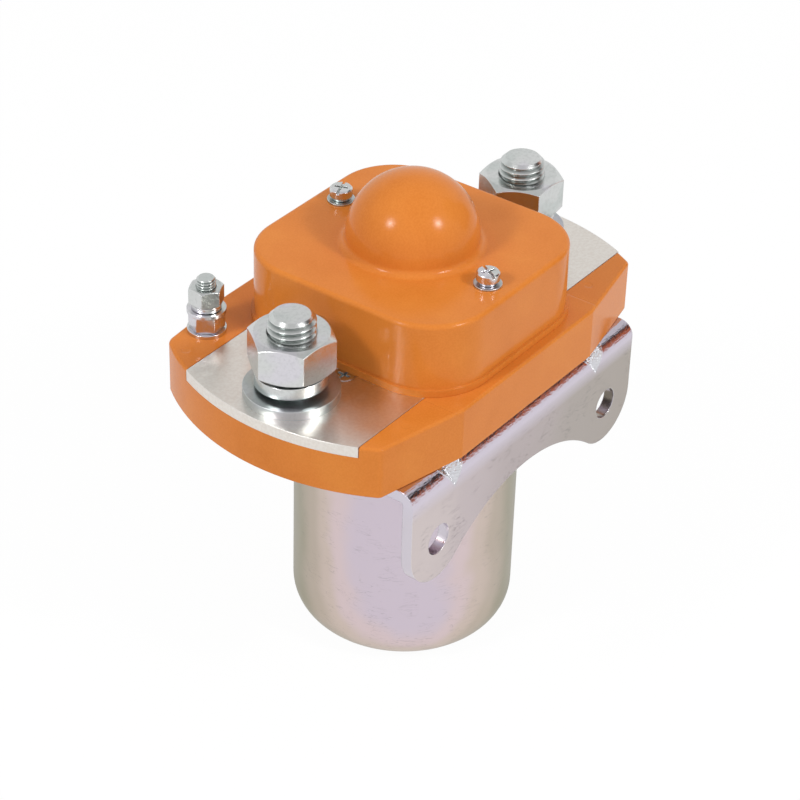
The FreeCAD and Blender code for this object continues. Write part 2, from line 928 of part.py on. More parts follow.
def make_nut(name, flats, height, thread, stud, turn):
    """Hexagon nut with both ends bevelled at thirty degrees and a countersunk
    mouth at each. Its bore runs at the pitch line of its thread."""
    body = new_body(name)
    bore = thread + S.fit
    mouth = stud + S.hole_gap
    sink = (mouth - bore) * math.tan(math.radians(30))
    corner = corner_circle(flats)
    face = flats * NUT_FACE_SHARE
    bevel = (corner - face) * math.tan(math.radians(30))
    corners = [
        (bore, sink),
        (mouth, 0),
        (face, 0),
        (corner, bevel),
        (corner, height - bevel),
        (face, height),
        (mouth, height),
        (bore, height - sink),
    ]
    turn_profile(body, corners)
    trim = new_sketch(body, "XY_Plane")
    add_circle(trim, 0, 0, corner + S.wide_gap)
    add_hexagon(trim, flats, turn=turn)
    pocket(body, trim, height, upward=True)
    return body


def make_lock_washer(name, bore, section, opening):
    """Split spring washer: one turn of square wire that rises by its opening."""
    mean = bore.value + section.value / 2
    half = section.value / 2
    turns = 1 - SPLIT_ANGLE / 360
    helix = Part.makeHelix(opening.value / turns, opening.value, mean)
    square = [
        Vector(mean - half, 0, 0),
        Vector(mean + half, 0, 0),
        Vector(mean + half, 0, section.value),
        Vector(mean - half, 0, section.value),
    ]
    profile = Part.makePolygon(square + square[:1])
    return plain(name, Part.Wire(helix.Edges).makePipeShell([profile], True, True))


def make_spring(name, mean, wire, height, turns):
    """Round wire coiled in quarter-turn arcs, as long as the room it fills at rest."""
    steps = int(turns * 8)
    points = []
    for step in range(steps + 1):
        angle = math.radians(45 * step)
        level = (height.value - 2 * wire.value) * step / steps
        points.append(Vector(mean.value * math.cos(angle), mean.value * math.sin(angle), level))
    quarters = zip(points[0:-2:2], points[1:-1:2], points[2::2])
    arcs = [Part.Arc(*quarter).toShape() for quarter in quarters]
    start = arcs[0].tangentAt(arcs[0].FirstParameter)
    profile = Part.Wire([Part.Circle(points[0], start, wire.value).toShape()])
    return plain(name, Part.Wire(arcs).makePipeShell([profile], True, False))


def make_flush_screw(name, radius, head, reach, facing):
    """Countersunk screw with its head's flat face at height zero. Its shank
    points down where facing is 1, and up where facing is -1."""
    rise = (head - radius) * facing
    end = reach * facing
    corners = [(0, 0), (head, 0), (radius, -rise), (radius, -end), (0, -end)]
    body = turned(name, corners)
    recess = new_sketch(body, "XY_Plane")
    add_cross(recess, head * CROSS_REACH_SHARE, head * CROSS_HALF_SHARE)
    pocket(body, recess, head * CROSS_DEPTH_SHARE, upward=facing < 0)
    return body


def make_cover_screw(name, x, y, slot_turn):
    """Cheese-head screw with a slot and a cross recess in one."""
    seat = S.cover_washer_thickness + S.cover_lock_section + S.cover_lock_opening
    head_radius = S.screw_head
    reach = S.cover_height + S.cover_screw_reach
    half = head_radius * CROSS_HALF_SHARE
    corners = [
        (0, -reach),
        (S.screw_radius, -reach),
        (S.screw_radius, seat),
        (head_radius, seat),
        (head_radius, seat + S.cover_screw_head - S.cover_screw_edge),
        (head_radius - S.cover_screw_edge, seat + S.cover_screw_head),
        (0, seat + S.cover_screw_head),
    ]
    body = turned(name, corners)
    recess = new_sketch(body, "XY_Plane", seat + S.cover_screw_head)
    add_cross(recess, head_radius * CROSS_REACH_SHARE, half)
    pocket(body, recess, S.cover_cross_depth)
    slot = new_sketch(body, "XY_Plane", seat + S.cover_screw_head)
    add_rectangle(slot, -head_radius, head_radius, -half, half)
    pocket(body, slot, S.cover_slot_depth)
    turn_about_z(body, slot_turn)
    return place(body, x, y, cover_top)


# Main terminals

def make_plate(name, side):
    """Tinned copper bar, flush with the base, that carries the fixed contact."""
    body = new_body(name)
    half = S.plate_width / 2
    end = root(base_end * base_end - half * half)
    sketch = new_sketch(body, "XY_Plane", plate_floor)
    add_outline(sketch, plate_corners(side, length(0), end), {7: base_end})
    add_circle(sketch, stud_x * side, 0, S.stud_radius + S.hole_gap)
    for x, y in plate_screw_points(side):
        add_circle(sketch, x, y, S.screw_radius + S.bed_gap)
    pad(body, sketch, S.plate_thickness)
    rise = S.screw_head - S.screw_radius
    for x, y in plate_screw_points(side):
        narrow = new_sketch(body, "XY_Plane", deck - rise)
        add_circle(narrow, x, y, S.screw_radius + S.bed_gap)
        wide = new_sketch(body, "XY_Plane", deck)
        add_circle(wide, x, y, S.screw_head + S.bed_gap)
        loft(body, "SubtractiveLoft", [narrow, wide])
    return body


def make_plate_screws(name, side):
    screws = []
    for number, (x, y) in enumerate(plate_screw_points(side), start=1):
        screw = make_flush_screw(
            f"{name}_{number}", S.screw_radius, S.screw_head, S.plate_screw_length, 1
        )
        screws.append(place(screw, x, y, deck))
    return group(name, screws)


def threaded_wall(stud, thread, nuts):
    """Wall of a stud, as radius and height, from below its first nut to the foot
    of its free end: at the outer size, and at the pitch line inside each nut."""
    wall = []
    for bottom, top in nuts:
        wall += [(stud, bottom), (thread, bottom), (thread, top), (stud, top)]
    return wall


def make_bolt(name, side):
    """Bolt with a thin hexagonal head that is trapped under the plate."""
    body = new_body(name)
    head = new_sketch(body, "XY_Plane", plate_floor - S.bolt_head)
    add_hexagon(head, S.bolt_flats)
    pad(body, head, S.bolt_head)
    low = plate_floor - S.bolt_head / 2
    high = deck + S.stud_height
    nut = (main_nut_level, main_nut_level + S.nut_height + S.thread_lead)
    corners = [
        (0, low),
        (S.stud_radius, low),
        *threaded_wall(S.stud_radius, S.stud_thread_radius, [nut]),
        (S.stud_radius, high - S.stud_chamfer),
        (S.stud_radius - S.stud_chamfer, high),
        (0, high),
    ]
    turn_profile(body, corners)
    return place(body, stud_x * side)


def make_main_terminal(word, side):
    """Plate, clamp screws, fixed tip, bolt and the stack on the bolt."""
    x = stud_x * side
    bore = S.stud_radius + S.fit
    flat = ring(f"{word}_terminal_flat_washer", bore, S.washer_radius, 0, S.washer_thickness)
    lock = make_lock_washer(
        f"{word}_terminal_spring_washer", bore, S.lock_section, S.lock_opening
    )
    nut = make_nut(
        f"{word}_terminal_nut",
        S.nut_flats,
        S.nut_height,
        S.stud_thread_radius,
        S.stud_radius,
        MAIN_NUT_TURN[word],
    )
    tip = disc(f"{word}_fixed_tip", S.tip_radius, S.tip_thickness)
    return [
        make_plate(f"{word}_terminal_plate", side),
        make_plate_screws(f"{word}_plate_screws", side),
        place(tip, S.tip_x * side, 0, deck),
        make_bolt(f"{word}_terminal_bolt", side),
        place(flat, x, 0, deck),
        place(lock, x, 0, deck + S.washer_thickness),
        place(nut, x, 0, main_nut_level),
    ]


# Coil terminals

def make_coil_stud(name, side, nuts):
    """Stud with a round head that is held against the base's underside. Its free
    end rises by the same length above the last nut on either side."""
    head_top = bracket_top + S.channel_depth
    bottom, top = nuts[-1]
    high = top + S.coil_stud_end
    engaged = [*nuts[:-1], (bottom, top + S.thread_lead)]
    corners = [
        (0, head_top - S.coil_head_height),
        (S.coil_head_radius, head_top - S.coil_head_height),
        (S.coil_head_radius, head_top),
        (S.coil_stud_radius, head_top),
        *threaded_wall(S.coil_stud_radius, S.coil_thread_radius, engaged),
        (S.coil_stud_radius, high - S.coil_stud_chamfer),
        (S.coil_stud_radius - S.coil_stud_chamfer, high),
        (0, high),
    ]
    return place(turned(name, corners), coil_stud_x * side, coil_stud_y)


def make_coil_terminal(word, side):
    """The stack of one side, piece on piece, and the stud that fits its nuts."""
    level = deck
    nuts = []
    pieces = []
    for kind in COIL_STACKS[word]:
        piece, height = make_coil_piece(f"{word}_coil_{kind}", kind)
        pieces.append(place(piece, coil_stud_x * side, coil_stud_y, level))
        if kind in COIL_NUT_TURN:
            nuts.append((level, level + height))
        level = level + height
    return [make_coil_stud(f"{word}_coil_stud", side, nuts), *pieces]


def make_coil_piece(name, kind):
    """One nut or washer for a coil stud, and the height that it takes up."""
    bore = S.coil_stud_radius + S.fit
    thickness = S.coil_washer_thickness
    if kind in COIL_NUT_TURN:
        flats, height, thread = S.coil_nut_flats, S.coil_nut_height, S.coil_thread_radius
        nut = make_nut(name, flats, height, thread, S.coil_stud_radius, COIL_NUT_TURN[kind])
        return nut, height
    if kind == "spring_washer":
        lock = make_lock_washer(name, bore, S.coil_lock_section, S.coil_lock_opening)
        return lock, S.coil_lock_section + S.coil_lock_opening
    return ring(name, bore, S.coil_washer_radius, 0, thickness), thickness


# Cover and frame screws

def make_cover_fixing(word, point):
    x, y = point
    bore = S.screw_radius + S.fit
    thickness = S.cover_washer_thickness
    flat = ring(f"{word}_cover_flat_washer", bore, S.cover_washer_radius, 0, thickness)
    lock = make_lock_washer(
        f"{word}_cover_spring_washer", bore, S.cover_lock_section, S.cover_lock_opening
    )
    return [
        make_cover_screw(f"{word}_cover_screw", x, y, SCREW_SLOT_TURN[word]),
        place(flat, x, y, cover_top),
        place(lock, x, y, cover_top + thickness),
    ]


def make_frame_screws():
    """Four screws, driven up through the bracket into the base."""
    screws = []
    for number, (x, y) in enumerate(frame_screw_points(), start=1):
        screw = make_flush_screw(
            f"base_screw_{number}",
            S.frame_screw_radius,
            S.frame_screw_head,
            S.frame_screw_length,
            -1,
        )
        screws.append(place(screw, x, y, S.can_height))
    return group("base_screws", screws)


# Magnet system

def make_core():
    """Fixed core with a foot flange, welded to the can's floor, and a spring bore."""
    radius = S.plunger_radius
    flange = radius + S.core_flange_overhang
    corners = [
        (0, S.can_wall),
        (flange, S.can_wall),
        (flange, core_flange_top),
        (radius, core_flange_top),
        (radius, S.core_top),
        (S.bore_radius, S.core_top),
        (S.bore_radius, S.core_top - S.core_bore_depth),
        (0, S.core_top - S.core_bore_depth),
    ]
    return turned("fixed_core", corners)


def make_bobbin():
    """Moulded spool with two lead holes in its upper flange."""
    low = core_flange_top
    high = S.can_height - S.face_gap
    corners = [
        (bobbin_inner, low),
        (bobbin_radius, low),
        (bobbin_radius, low + S.bobbin_flange),
        (bobbin_outer, low + S.bobbin_flange),
        (bobbin_outer, high - S.bobbin_flange),
        (bobbin_radius, high - S.bobbin_flange),
        (bobbin_radius, high),
        (bobbin_inner, high),
    ]
    body = turned("coil_bobbin", corners)
    holes = new_sketch(body, "XY_Plane", high)
    for x, y in lead_points():
        add_circle(holes, x, y, S.lead_radius + S.hole_gap)
    pocket(body, holes, S.bobbin_flange)
    return body


def make_winding():
    low = core_flange_top + S.bobbin_flange + S.face_gap
    high = S.can_height - S.bobbin_flange - S.face_gap * 2
    return ring("coil_winding", bobbin_outer + S.fit, winding_radius, low, high)


def make_lead(name, side):
    """Insulated wire, up from the winding and along the base's channel to the
    stud's head. It is drawn in the XZ plane and turned to face the stud."""
    body = new_body(name)
    level = bracket_top + S.channel_depth / 2
    foot = S.can_height - S.bobbin_flange - S.face_gap
    bend = S.lead_bend
    end = coil_stud_reach - S.coil_head_radius - S.face_gap
    path = new_sketch(body, "XZ_Plane")
    upright = [Vector(S.lead_circle.value, foot.value, 0)]
    upright.append(Vector(S.lead_circle.value, (level - bend).value, 0))
    along = [Vector((S.lead_circle + bend).value, level.value, 0)]
    along.append(Vector(end.value, level.value, 0))
    path.addGeometry(Part.LineSegment(*upright), False)
    path.addGeometry(arc_between(upright[1], along[0], -bend.value), False)
    path.addGeometry(Part.LineSegment(*along), False)
    path.addConstraint(Sketcher.Constraint("Coincident", 0, 2, 1, 2))
    path.addConstraint(Sketcher.Constraint("Coincident", 1, 1, 2, 1))
    pin_point(path, 0, 1, S.lead_circle, foot)
    pin_point(path, 0, 2, S.lead_circle, level - bend)
    pin_point(path, 2, 1, S.lead_circle + bend, level)
    pin_point(path, 2, 2, end, level)
    set_radius(path, 1, bend)
    section = new_sketch(body, "XY_Plane", foot)
    add_circle(section, S.lead_circle, 0, S.lead_radius)
    wire = body.newObject("PartDesign::AdditivePipe", "wire")
    wire.Profile = section
    wire.Spine = (path, ["Edge1", "Edge2", "Edge3"])
    bearing = math.degrees(math.atan2(coil_stud_y.value, coil_stud_x.value * side))
    return turn_about_z(body, bearing)


def make_plunger():
    """Steel plunger: a spring bore below and the rod's seat above."""
    radius = S.plunger_radius
    stub = S.rod_stub_radius + S.fit
    stub_floor = plunger_top - S.rod_stub_depth - S.face_gap
    corners = [
        (0, plunger_bottom + S.plunger_bore_depth),
        (S.bore_radius, plunger_bottom + S.plunger_bore_depth),
        (S.bore_radius, plunger_bottom),
        (radius, plunger_bottom),
        (radius, plunger_top),
        (stub, plunger_top),
        (stub, stub_floor),
        (0, stub_floor),
    ]
    return turned("plunger", corners)


def make_rod():
    """Push rod: a stub in the plunger, a shoulder for the bush, a thin neck."""
    corners = [
        (0, plunger_top - S.rod_stub_depth),
        (S.rod_stub_radius, plunger_top - S.rod_stub_depth),
        (S.rod_stub_radius, plunger_top),
        (S.rod_radius, plunger_top),
        (S.rod_radius, bush_bottom),
        (S.rod_neck_radius, bush_bottom),
        (S.rod_neck_radius, rod_top),
        (0, rod_top),
    ]
    return turned("push_rod", corners)


def make_return_spring():
    foot = S.core_top - S.core_bore_depth
    room = plunger_bottom + S.plunger_bore_depth - foot - S.face_gap
    mean = S.bore_radius - S.spring_play - S.return_spring_wire
    wire = S.return_spring_wire
    spring = make_spring("return_spring", mean, wire, room, RETURN_SPRING_TURNS)
    return place(spring, 0, 0, foot + wire)


def make_magnet_system():
    core_top = S.core_top
    sleeve_top = S.can_height - S.face_gap
    shim_outer = S.plunger_radius - S.hole_gap
    buffer_inner = S.rod_radius + S.wide_gap
    buffer_outer = S.plunger_radius - S.wide_gap
    return [
        make_core(),
        ring("core_shim", S.bore_radius, shim_outer, core_top, core_top + S.shim_thickness),
        ring("guide_sleeve", sleeve_inner, sleeve_outer, core_flange_top, sleeve_top),
        make_bobbin(),
        make_winding(),
        make_lead("left_coil_lead", -1),
        make_lead("right_coil_lead", 1),
        make_return_spring(),
        ring("plunger_buffer", buffer_inner, buffer_outer, buffer_bottom, buffer_top),
        make_plunger(),
        make_rod(),
    ]


# Contact system

def make_bridge():
    """Copper bar that joins the two fixed tips when it comes down."""
    body = new_body("contact_bridge")
    half_length = S.tip_x + S.tip_radius + S.bridge_lip
    sketch = new_sketch(body, "XY_Plane", bridge_bottom)
    add_rounded_rectangle(sketch, half_length, S.bridge_width / 2, S.bridge_corner)
    add_circle(sketch, 0, 0, bush_neck + S.fit)
    pad(body, sketch, S.bridge_thickness)
    return body


def make_bush():
    """Insulating flanged bush that carries the bridge on the rod's shoulder."""
    inner = S.rod_neck_radius + S.fit
    neck_top = bridge_top - S.face_gap
    corners = [
        (inner, bush_bottom),
        (S.bush_radius, bush_bottom),
        (S.bush_radius, bush_top),
        (bush_neck, bush_top),
        (bush_neck, neck_top),
        (inner, neck_top),
    ]
    return turned("bridge_bush", corners)


def make_contact_spring():
    wire = S.contact_spring_wire
    height = S.contact_spring_height
    mean = contact_spring_radius
    spring = make_spring("contact_spring", mean, wire, height, CONTACT_SPRING_TURNS)
    return place(spring, 0, 0, contact_spring_foot + wire)


def make_contact_system():
    bore = S.rod_neck_radius + S.fit
    spring_outer = contact_spring_radius + S.contact_spring_wire
    seat_radius = spring_outer + S.seat_lip
    insulator_top = bridge_top + S.insulator_thickness
    neck = S.rod_neck_radius
    nut = make_nut("rod_nut", S.coil_nut_flats, S.coil_nut_height, neck, neck, 0)
    pieces = [
        make_bridge(),
        ring("bridge_insulating_washer", bore, S.bush_radius, bridge_top, insulator_top),
        make_bush(),
        make_contact_spring(),
        ring("spring_seat", bore, seat_radius, seat_bottom, rod_nut_bottom),
        place(nut, 0, 0, rod_nut_bottom),
    ]
    for word, side in SIDES.items():
        tip = disc(f"{word}_bridge_tip", S.tip_radius, S.tip_thickness)
        pieces.append(place(tip, S.tip_x * side, 0, bridge_tip_bottom))
    return pieces


# Whole part

def make_all():
    pieces = [make_can(), make_bracket(), make_base(), make_cover()]
    for word, side in SIDES.items():
        pieces += make_main_terminal(word, side)
        pieces += make_coil_terminal(word, side)
    for word, point in zip(("front", "rear"), cover_screw_points()):
        pieces += make_cover_fixing(word, point)
    pieces.append(make_frame_screws())
    pieces += make_magnet_system()
    pieces += make_contact_system()
    return pieces


def check(pieces):
    """Stop before anything is written if an object failed or a shape is bad."""
    for thing in doc.Objects:
        if "Invalid" in thing.State or "Error" in thing.State:
            raise ValueError(f"{thing.Name}: {thing.State}")
    for piece in pieces:
        if piece.Shape.isNull() or not piece.Shape.isValid() or not piece.Shape.Solids:
            raise ValueError(f"{piece.Label} has no valid solid")


def write(pieces):
    os.makedirs("parts", exist_ok=True)
    for piece in pieces:
        piece.Shape.exportStep(f"parts/{piece.Label}.step")


nodes = make_all()
doc.recompute()
check(nodes)
write(nodes)
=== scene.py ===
import json
import math

import bpy
import numpy as np
from mathutils import Matrix, Vector


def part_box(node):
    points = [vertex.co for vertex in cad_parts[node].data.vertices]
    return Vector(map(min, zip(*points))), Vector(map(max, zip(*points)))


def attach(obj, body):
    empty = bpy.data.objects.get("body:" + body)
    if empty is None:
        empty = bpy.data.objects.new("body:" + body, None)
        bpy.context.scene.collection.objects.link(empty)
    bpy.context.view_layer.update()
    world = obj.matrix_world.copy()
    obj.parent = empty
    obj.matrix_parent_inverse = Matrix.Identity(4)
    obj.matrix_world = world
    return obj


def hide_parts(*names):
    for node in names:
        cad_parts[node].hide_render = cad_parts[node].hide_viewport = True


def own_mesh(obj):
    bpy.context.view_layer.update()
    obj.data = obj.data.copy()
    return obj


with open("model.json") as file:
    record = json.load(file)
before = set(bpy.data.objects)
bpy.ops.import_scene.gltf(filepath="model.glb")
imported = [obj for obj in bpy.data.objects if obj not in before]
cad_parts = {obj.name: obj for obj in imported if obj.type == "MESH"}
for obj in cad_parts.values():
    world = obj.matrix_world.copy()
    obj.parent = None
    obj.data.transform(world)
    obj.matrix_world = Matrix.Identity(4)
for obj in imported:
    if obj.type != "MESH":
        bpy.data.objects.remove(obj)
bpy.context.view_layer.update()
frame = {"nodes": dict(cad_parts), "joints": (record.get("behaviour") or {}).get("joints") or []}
nodes = frame["nodes"]

# Head of the contactor: base and cover, compression moulded from glass-filled
# thermoset. The tool leaves a semi-gloss skin with faint flow clouds, and the
# fibre just below it shows as a fine speckle.


def mm(length):
    """A length in millimetres as metres: its thousandth part."""
    return length / 1000


def linear(code):
    """An sRGB hex colour as linear light: c / 12.92 up to 0.04045, and above that
    (c + 0.055) / 1.055 to the power 2.4."""
    levels = [int(code[i:i + 2], 16) / 255 for i in (1, 3, 5)]
    return [c / 12.92 if c <= 0.04045 else ((c + 0.055) / 1.055) ** 2.4 for c in levels] + [1.0]


def grey(level):
    """A linear grey: one level for red, green and blue."""
    return [level, level, level, 1.0]


def feed(tree, node, links):
    """Each source goes to the node's socket of that name or number."""
    for name, source in dict(links).items():
        tree.links.new(source, node.inputs[name])


def add(tree, kind, settings=(), inputs=(), links=()):
    """A node with its properties, its socket values and the sockets that feed it."""
    node = tree.nodes.new(kind)
    for name, value in dict(settings).items():
        setattr(node, name, value)
    for name, value in dict(inputs).items():
        node.inputs[name].default_value = value
    feed(tree, node, links)
    return node


def new_material(name):
    """An empty material: its tree, its shader and the object's coordinates in metres."""
    material = bpy.data.materials.new(name)
    material.use_nodes = True
    tree = material.node_tree
    tree.nodes.clear()
    shader = add(tree, "ShaderNodeBsdfPrincipled")
    add(tree, "ShaderNodeOutputMaterial", links={"Surface": shader.outputs["BSDF"]})
    place = add(tree, "ShaderNodeTexCoord").outputs["Object"]
    return material, tree, shader, place


def ramp(tree, source, stops):
    """A colour ramp over a value from 0 to 1: stops are (position, linear colour)."""
    node = add(tree, "ShaderNodeValToRGB", links={"Fac": source})
    node.color_ramp.interpolation = "EASE"
    elements = node.color_ramp.elements
    while len(elements) < len(stops):
        elements.new(0.5)
    for element, (position, colour) in zip(elements, stops):
        element.position = position
        element.color = colour
    return node.outputs["Color"]


def dress(material, *names):
    """The material takes the place of each CAD node's own."""
    for name in names:
        slots = nodes[name].data.materials
        slots.clear()
        slots.append(material)


def make_thermoset(name):
    """Orange thermoset: clouds 14 mm wide shift its hue and gloss, and bundles of glass
    fibre speckle it. They are drawn 0.5 mm wide, the finest that shows. Its edges are
    broken by 0.3 mm."""
    material, tree, shader, place = new_material(name)
    clouds = add(tree, "ShaderNodeTexNoise", inputs={"Scale": 70.0, "Detail": 3.0},
                 links={"Vector": place})
    speckle = add(tree, "ShaderNodeTexNoise", inputs={"Scale": 2000.0, "Detail": 2.0},
                  links={"Vector": place})
    body = ramp(tree, clouds.outputs["Fac"], [
        (0.30, linear("#D17A30")), (0.50, linear("#D67F35")), (0.70, linear("#DA8539"))])
    fibre = ramp(tree, speckle.outputs["Fac"], [(0.35, linear("#CB6E22")), (0.65, linear("#E0883A"))])
    mixed = add(tree, "ShaderNodeMix", {"data_type": "RGBA"}, {"Factor": 0.18}, {"A": body, "B": fibre})
    gloss = ramp(tree, clouds.outputs["Fac"], [(0.3, grey(0.15)), (0.7, grey(0.21))])
    edge = add(tree, "ShaderNodeBevel", {"samples": 4}, {"Radius": mm(0.3)})
    skin = add(tree, "ShaderNodeBump", inputs={"Strength": 0.08, "Distance": mm(0.02)},
               links={"Height": speckle.outputs["Fac"], "Normal": edge.outputs["Normal"]})
    feed(tree, shader, {
        "Base Color": mixed.outputs["Result"], "Roughness": gloss, "Normal": skin.outputs["Normal"]})
    shader.inputs["IOR"].default_value = 1.50
    shader.inputs["Specular IOR Level"].default_value = 0.16
    return material, tree, shader, place, skin


def tool_marks(tree, place, shader, skin):
    """The base's deck carries the tool's marks: a joint line beside each plate, where
    the size of x is within 0.35 mm of the plate's edge, and round ejector pin dimples,
    where the distance from a pin's middle is under its radius."""
    deck, plate_edge, plate_front = mm(94.0), mm(31.1), mm(-27.2)
    pins = (mm(-50.3), mm(32.1)), (mm(-42.8), mm(-30.0)), (mm(38.0), mm(-29.4))
    part = add(tree, "ShaderNodeSeparateXYZ", links={"Vector": place}).outputs
    off = add(tree, "ShaderNodeMath", {"operation": "ABSOLUTE"}, links={0: part["X"]})
    off = add(tree, "ShaderNodeMath", {"operation": "SUBTRACT"}, {1: plate_edge}, {0: off.outputs["Value"]})
    off = add(tree, "ShaderNodeMath", {"operation": "ABSOLUTE"}, links={0: off.outputs["Value"]})
    line = add(tree, "ShaderNodeMapRange", {"interpolation_type": "SMOOTHSTEP"},
               {"From Min": 0.0, "From Max": mm(0.35), "To Min": 1.0, "To Max": 0.0},
               {"Value": off.outputs["Value"]})
    front = add(tree, "ShaderNodeMapRange", inputs={
        "From Min": plate_front, "From Max": plate_front - mm(0.4)}, links={"Value": part["Y"]})
    above = add(tree, "ShaderNodeMapRange", inputs={
        "From Min": deck - mm(1.0), "From Max": deck - mm(0.4)}, links={"Value": part["Z"]})
    depth = add(tree, "ShaderNodeMath", {"operation": "MULTIPLY"}, links={
        0: line.outputs["Result"], 1: front.outputs["Result"]})
    depth = add(tree, "ShaderNodeMath", {"operation": "MULTIPLY"}, links={
        0: depth.outputs["Value"], 1: above.outputs["Result"]})
    for x, y in pins:
        away = add(tree, "ShaderNodeVectorMath", {"operation": "DISTANCE"}, {1: (x, y, deck)}, {0: place})
        pin = add(tree, "ShaderNodeMapRange", {"interpolation_type": "SMOOTHSTEP"},
                  {"From Min": mm(0.9), "From Max": mm(1.3), "To Min": 1.0, "To Max": 0.0},
                  {"Value": away.outputs["Value"]})
        depth = add(tree, "ShaderNodeMath", {"operation": "MAXIMUM"}, links={
            0: depth.outputs["Value"], 1: pin.outputs["Result"]})
    sunk = add(tree, "ShaderNodeBump", {"invert": True}, {"Strength": 0.5, "Distance": mm(0.15)},
               {"Height": depth.outputs["Value"], "Normal": skin.outputs["Normal"]})
    feed(tree, shader, {"Normal": sunk.outputs["Normal"]})


cover_skin, *_ = make_thermoset("glass_filled_thermoset")
dress(cover_skin, "cover_moulding")
base_skin, tree, shader, place, skin = make_thermoset("glass_filled_thermoset_with_tool_marks")
tool_marks(tree, place, shader, skin)
dress(base_skin, "base_moulding")

# Can: deep drawn from steel sheet, zinc plated and passivated. The passivation
# film is thinner than a wavelength of light, so it tints the metal, and painted shade goes with
# the tint: lilac and lightest towards the camera, rose beside that and darker olive towards the sides.
# Handling leaves fine scuffs.


def paint_edge_highlight(tree, edge, body, share):
    """Painted highlight along edges: lightens a colour towards near white where the rounded
    normal leaves the surface's own. Their dot product is 1 on a flat and 0.71 in the middle
    of a square edge, and the painted highlight grows from 0 to the share as it falls from 0.985 to 0.86."""
    own = add(tree, "ShaderNodeNewGeometry").outputs["Normal"]
    level = add(tree, "ShaderNodeVectorMath", {"operation": "DOT_PRODUCT"},
                links={0: own, 1: edge.outputs["Normal"]})
    highlight_share = add(tree, "ShaderNodeMapRange", inputs={"From Min": 0.985, "From Max": 0.86, "To Max": share},
               links={"Value": level.outputs["Value"]})
    # Near-white painted highlight on the edges.
    highlighted = add(tree, "ShaderNodeMix", {"data_type": "RGBA"}, {"B": linear("#F4F4F4")},
                 {"Factor": highlight_share.outputs["Result"], "A": body})
    return highlighted.outputs["Result"]


def film_tint_and_shade(tree, place, across, offset, stops):
    """The film's colour by its thickness, with painted shade in the same ramp: the size of a
    place measured along one direction, plus a noise 30 mm wide, less up to 0.30 over the
    lowest 20 mm, where the bath drains off. The noise is given back too."""
    along = add(tree, "ShaderNodeVectorMath", {"operation": "DOT_PRODUCT"}, {1: across}, {0: place})
    along = add(tree, "ShaderNodeMath", {"operation": "ADD"}, {1: offset}, {0: along.outputs["Value"]})
    along = add(tree, "ShaderNodeMath", {"operation": "ABSOLUTE"}, links={0: along.outputs["Value"]})
    clouds = add(tree, "ShaderNodeTexNoise", inputs={"Scale": 33.0, "Detail": 3.0, "Roughness": 0.6},
                 links={"Vector": place})
    drift = add(tree, "ShaderNodeMapRange", inputs={"To Min": -0.16, "To Max": 0.16},
                links={"Value": clouds.outputs["Fac"]})
    height = add(tree, "ShaderNodeSeparateXYZ", links={"Vector": place}).outputs["Z"]
    drained = add(tree, "ShaderNodeMapRange", {"interpolation_type": "SMOOTHSTEP"},
                  {"From Min": mm(-4.0), "From Max": mm(20.0), "To Min": -0.30, "To Max": 0.0},
                  {"Value": height})
    film = add(tree, "ShaderNodeMath", {"operation": "ADD"}, links={
        0: along.outputs["Value"], 1: drift.outputs["Result"]})
    film = add(tree, "ShaderNodeMath", {"operation": "ADD"}, links={
        0: film.outputs["Value"], 1: drained.outputs["Result"]})
    return ramp(tree, film.outputs["Value"], stops), drift.outputs["Result"]


def scuff(tree, place, tint, grain, depth):
    """Scratches darken the tint along the line where a noise stretched by the grain
    passes 0.5, to 0.022 on either side, in the patches 6 mm wide where a second noise
    is above 0.47. The stretched noise is given back too."""
    stretch = add(tree, "ShaderNodeMapping", inputs={"Rotation": (0.0, 0.6, 0.0), "Scale": grain},
                  links={"Vector": place})
    lines = add(tree, "ShaderNodeTexNoise", inputs={"Scale": 1.0, "Detail": 2.0, "Distortion": 0.8},
                links={"Vector": stretch.outputs["Vector"]})
    near = add(tree, "ShaderNodeMath", {"operation": "SUBTRACT"}, {1: 0.5}, {0: lines.outputs["Fac"]})
    near = add(tree, "ShaderNodeMath", {"operation": "ABSOLUTE"}, links={0: near.outputs["Value"]})
    line = add(tree, "ShaderNodeMapRange", inputs={"From Min": 0.022, "From Max": 0.0, "To Max": depth},
               links={"Value": near.outputs["Value"]})
    patches = add(tree, "ShaderNodeTexNoise", inputs={"Scale": 170.0, "Detail": 2.0},
                  links={"Vector": place})
    patch = add(tree, "ShaderNodeMapRange", inputs={"From Min": 0.47, "From Max": 0.57},
                links={"Value": patches.outputs["Fac"]})
    marks = add(tree, "ShaderNodeMath", {"operation": "MULTIPLY"}, links={
        0: line.outputs["Result"], 1: patch.outputs["Result"]})
    scratched = add(tree, "ShaderNodeMix", {"data_type": "RGBA"}, {"B": linear("#5B5558")},
                    {"Factor": marks.outputs["Value"], "A": tint})
    return scratched.outputs["Result"], lines.outputs["Fac"]


def make_passivated(name, across, offset, stops, grain, depth):
    """Passivated zinc: the film's tint, which carries painted shade too, with its scuffs, on sheet whose
    edges are rounded by 0.4 mm and lightened with a painted highlight."""
    material, tree, shader, place = new_material(name)
    tint, drift = film_tint_and_shade(tree, place, across, offset, stops)
    scratched, lines = scuff(tree, place, tint, grain, depth)
    edge = add(tree, "ShaderNodeBevel", {"samples": 4}, {"Radius": mm(0.4)})
    # Painted highlight along the rounded edges.
    body = paint_edge_highlight(tree, edge, scratched, 0.7)
    bump = add(tree, "ShaderNodeBump", inputs={"Strength": 0.10, "Distance": mm(0.02)},
               links={"Height": lines, "Normal": edge.outputs["Normal"]})
    feed(tree, shader, {"Base Color": body, "Normal": bump.outputs["Normal"]})
    shader.inputs["Metallic"].default_value = 1.0
    return material, tree, shader, place, bump, body, drift


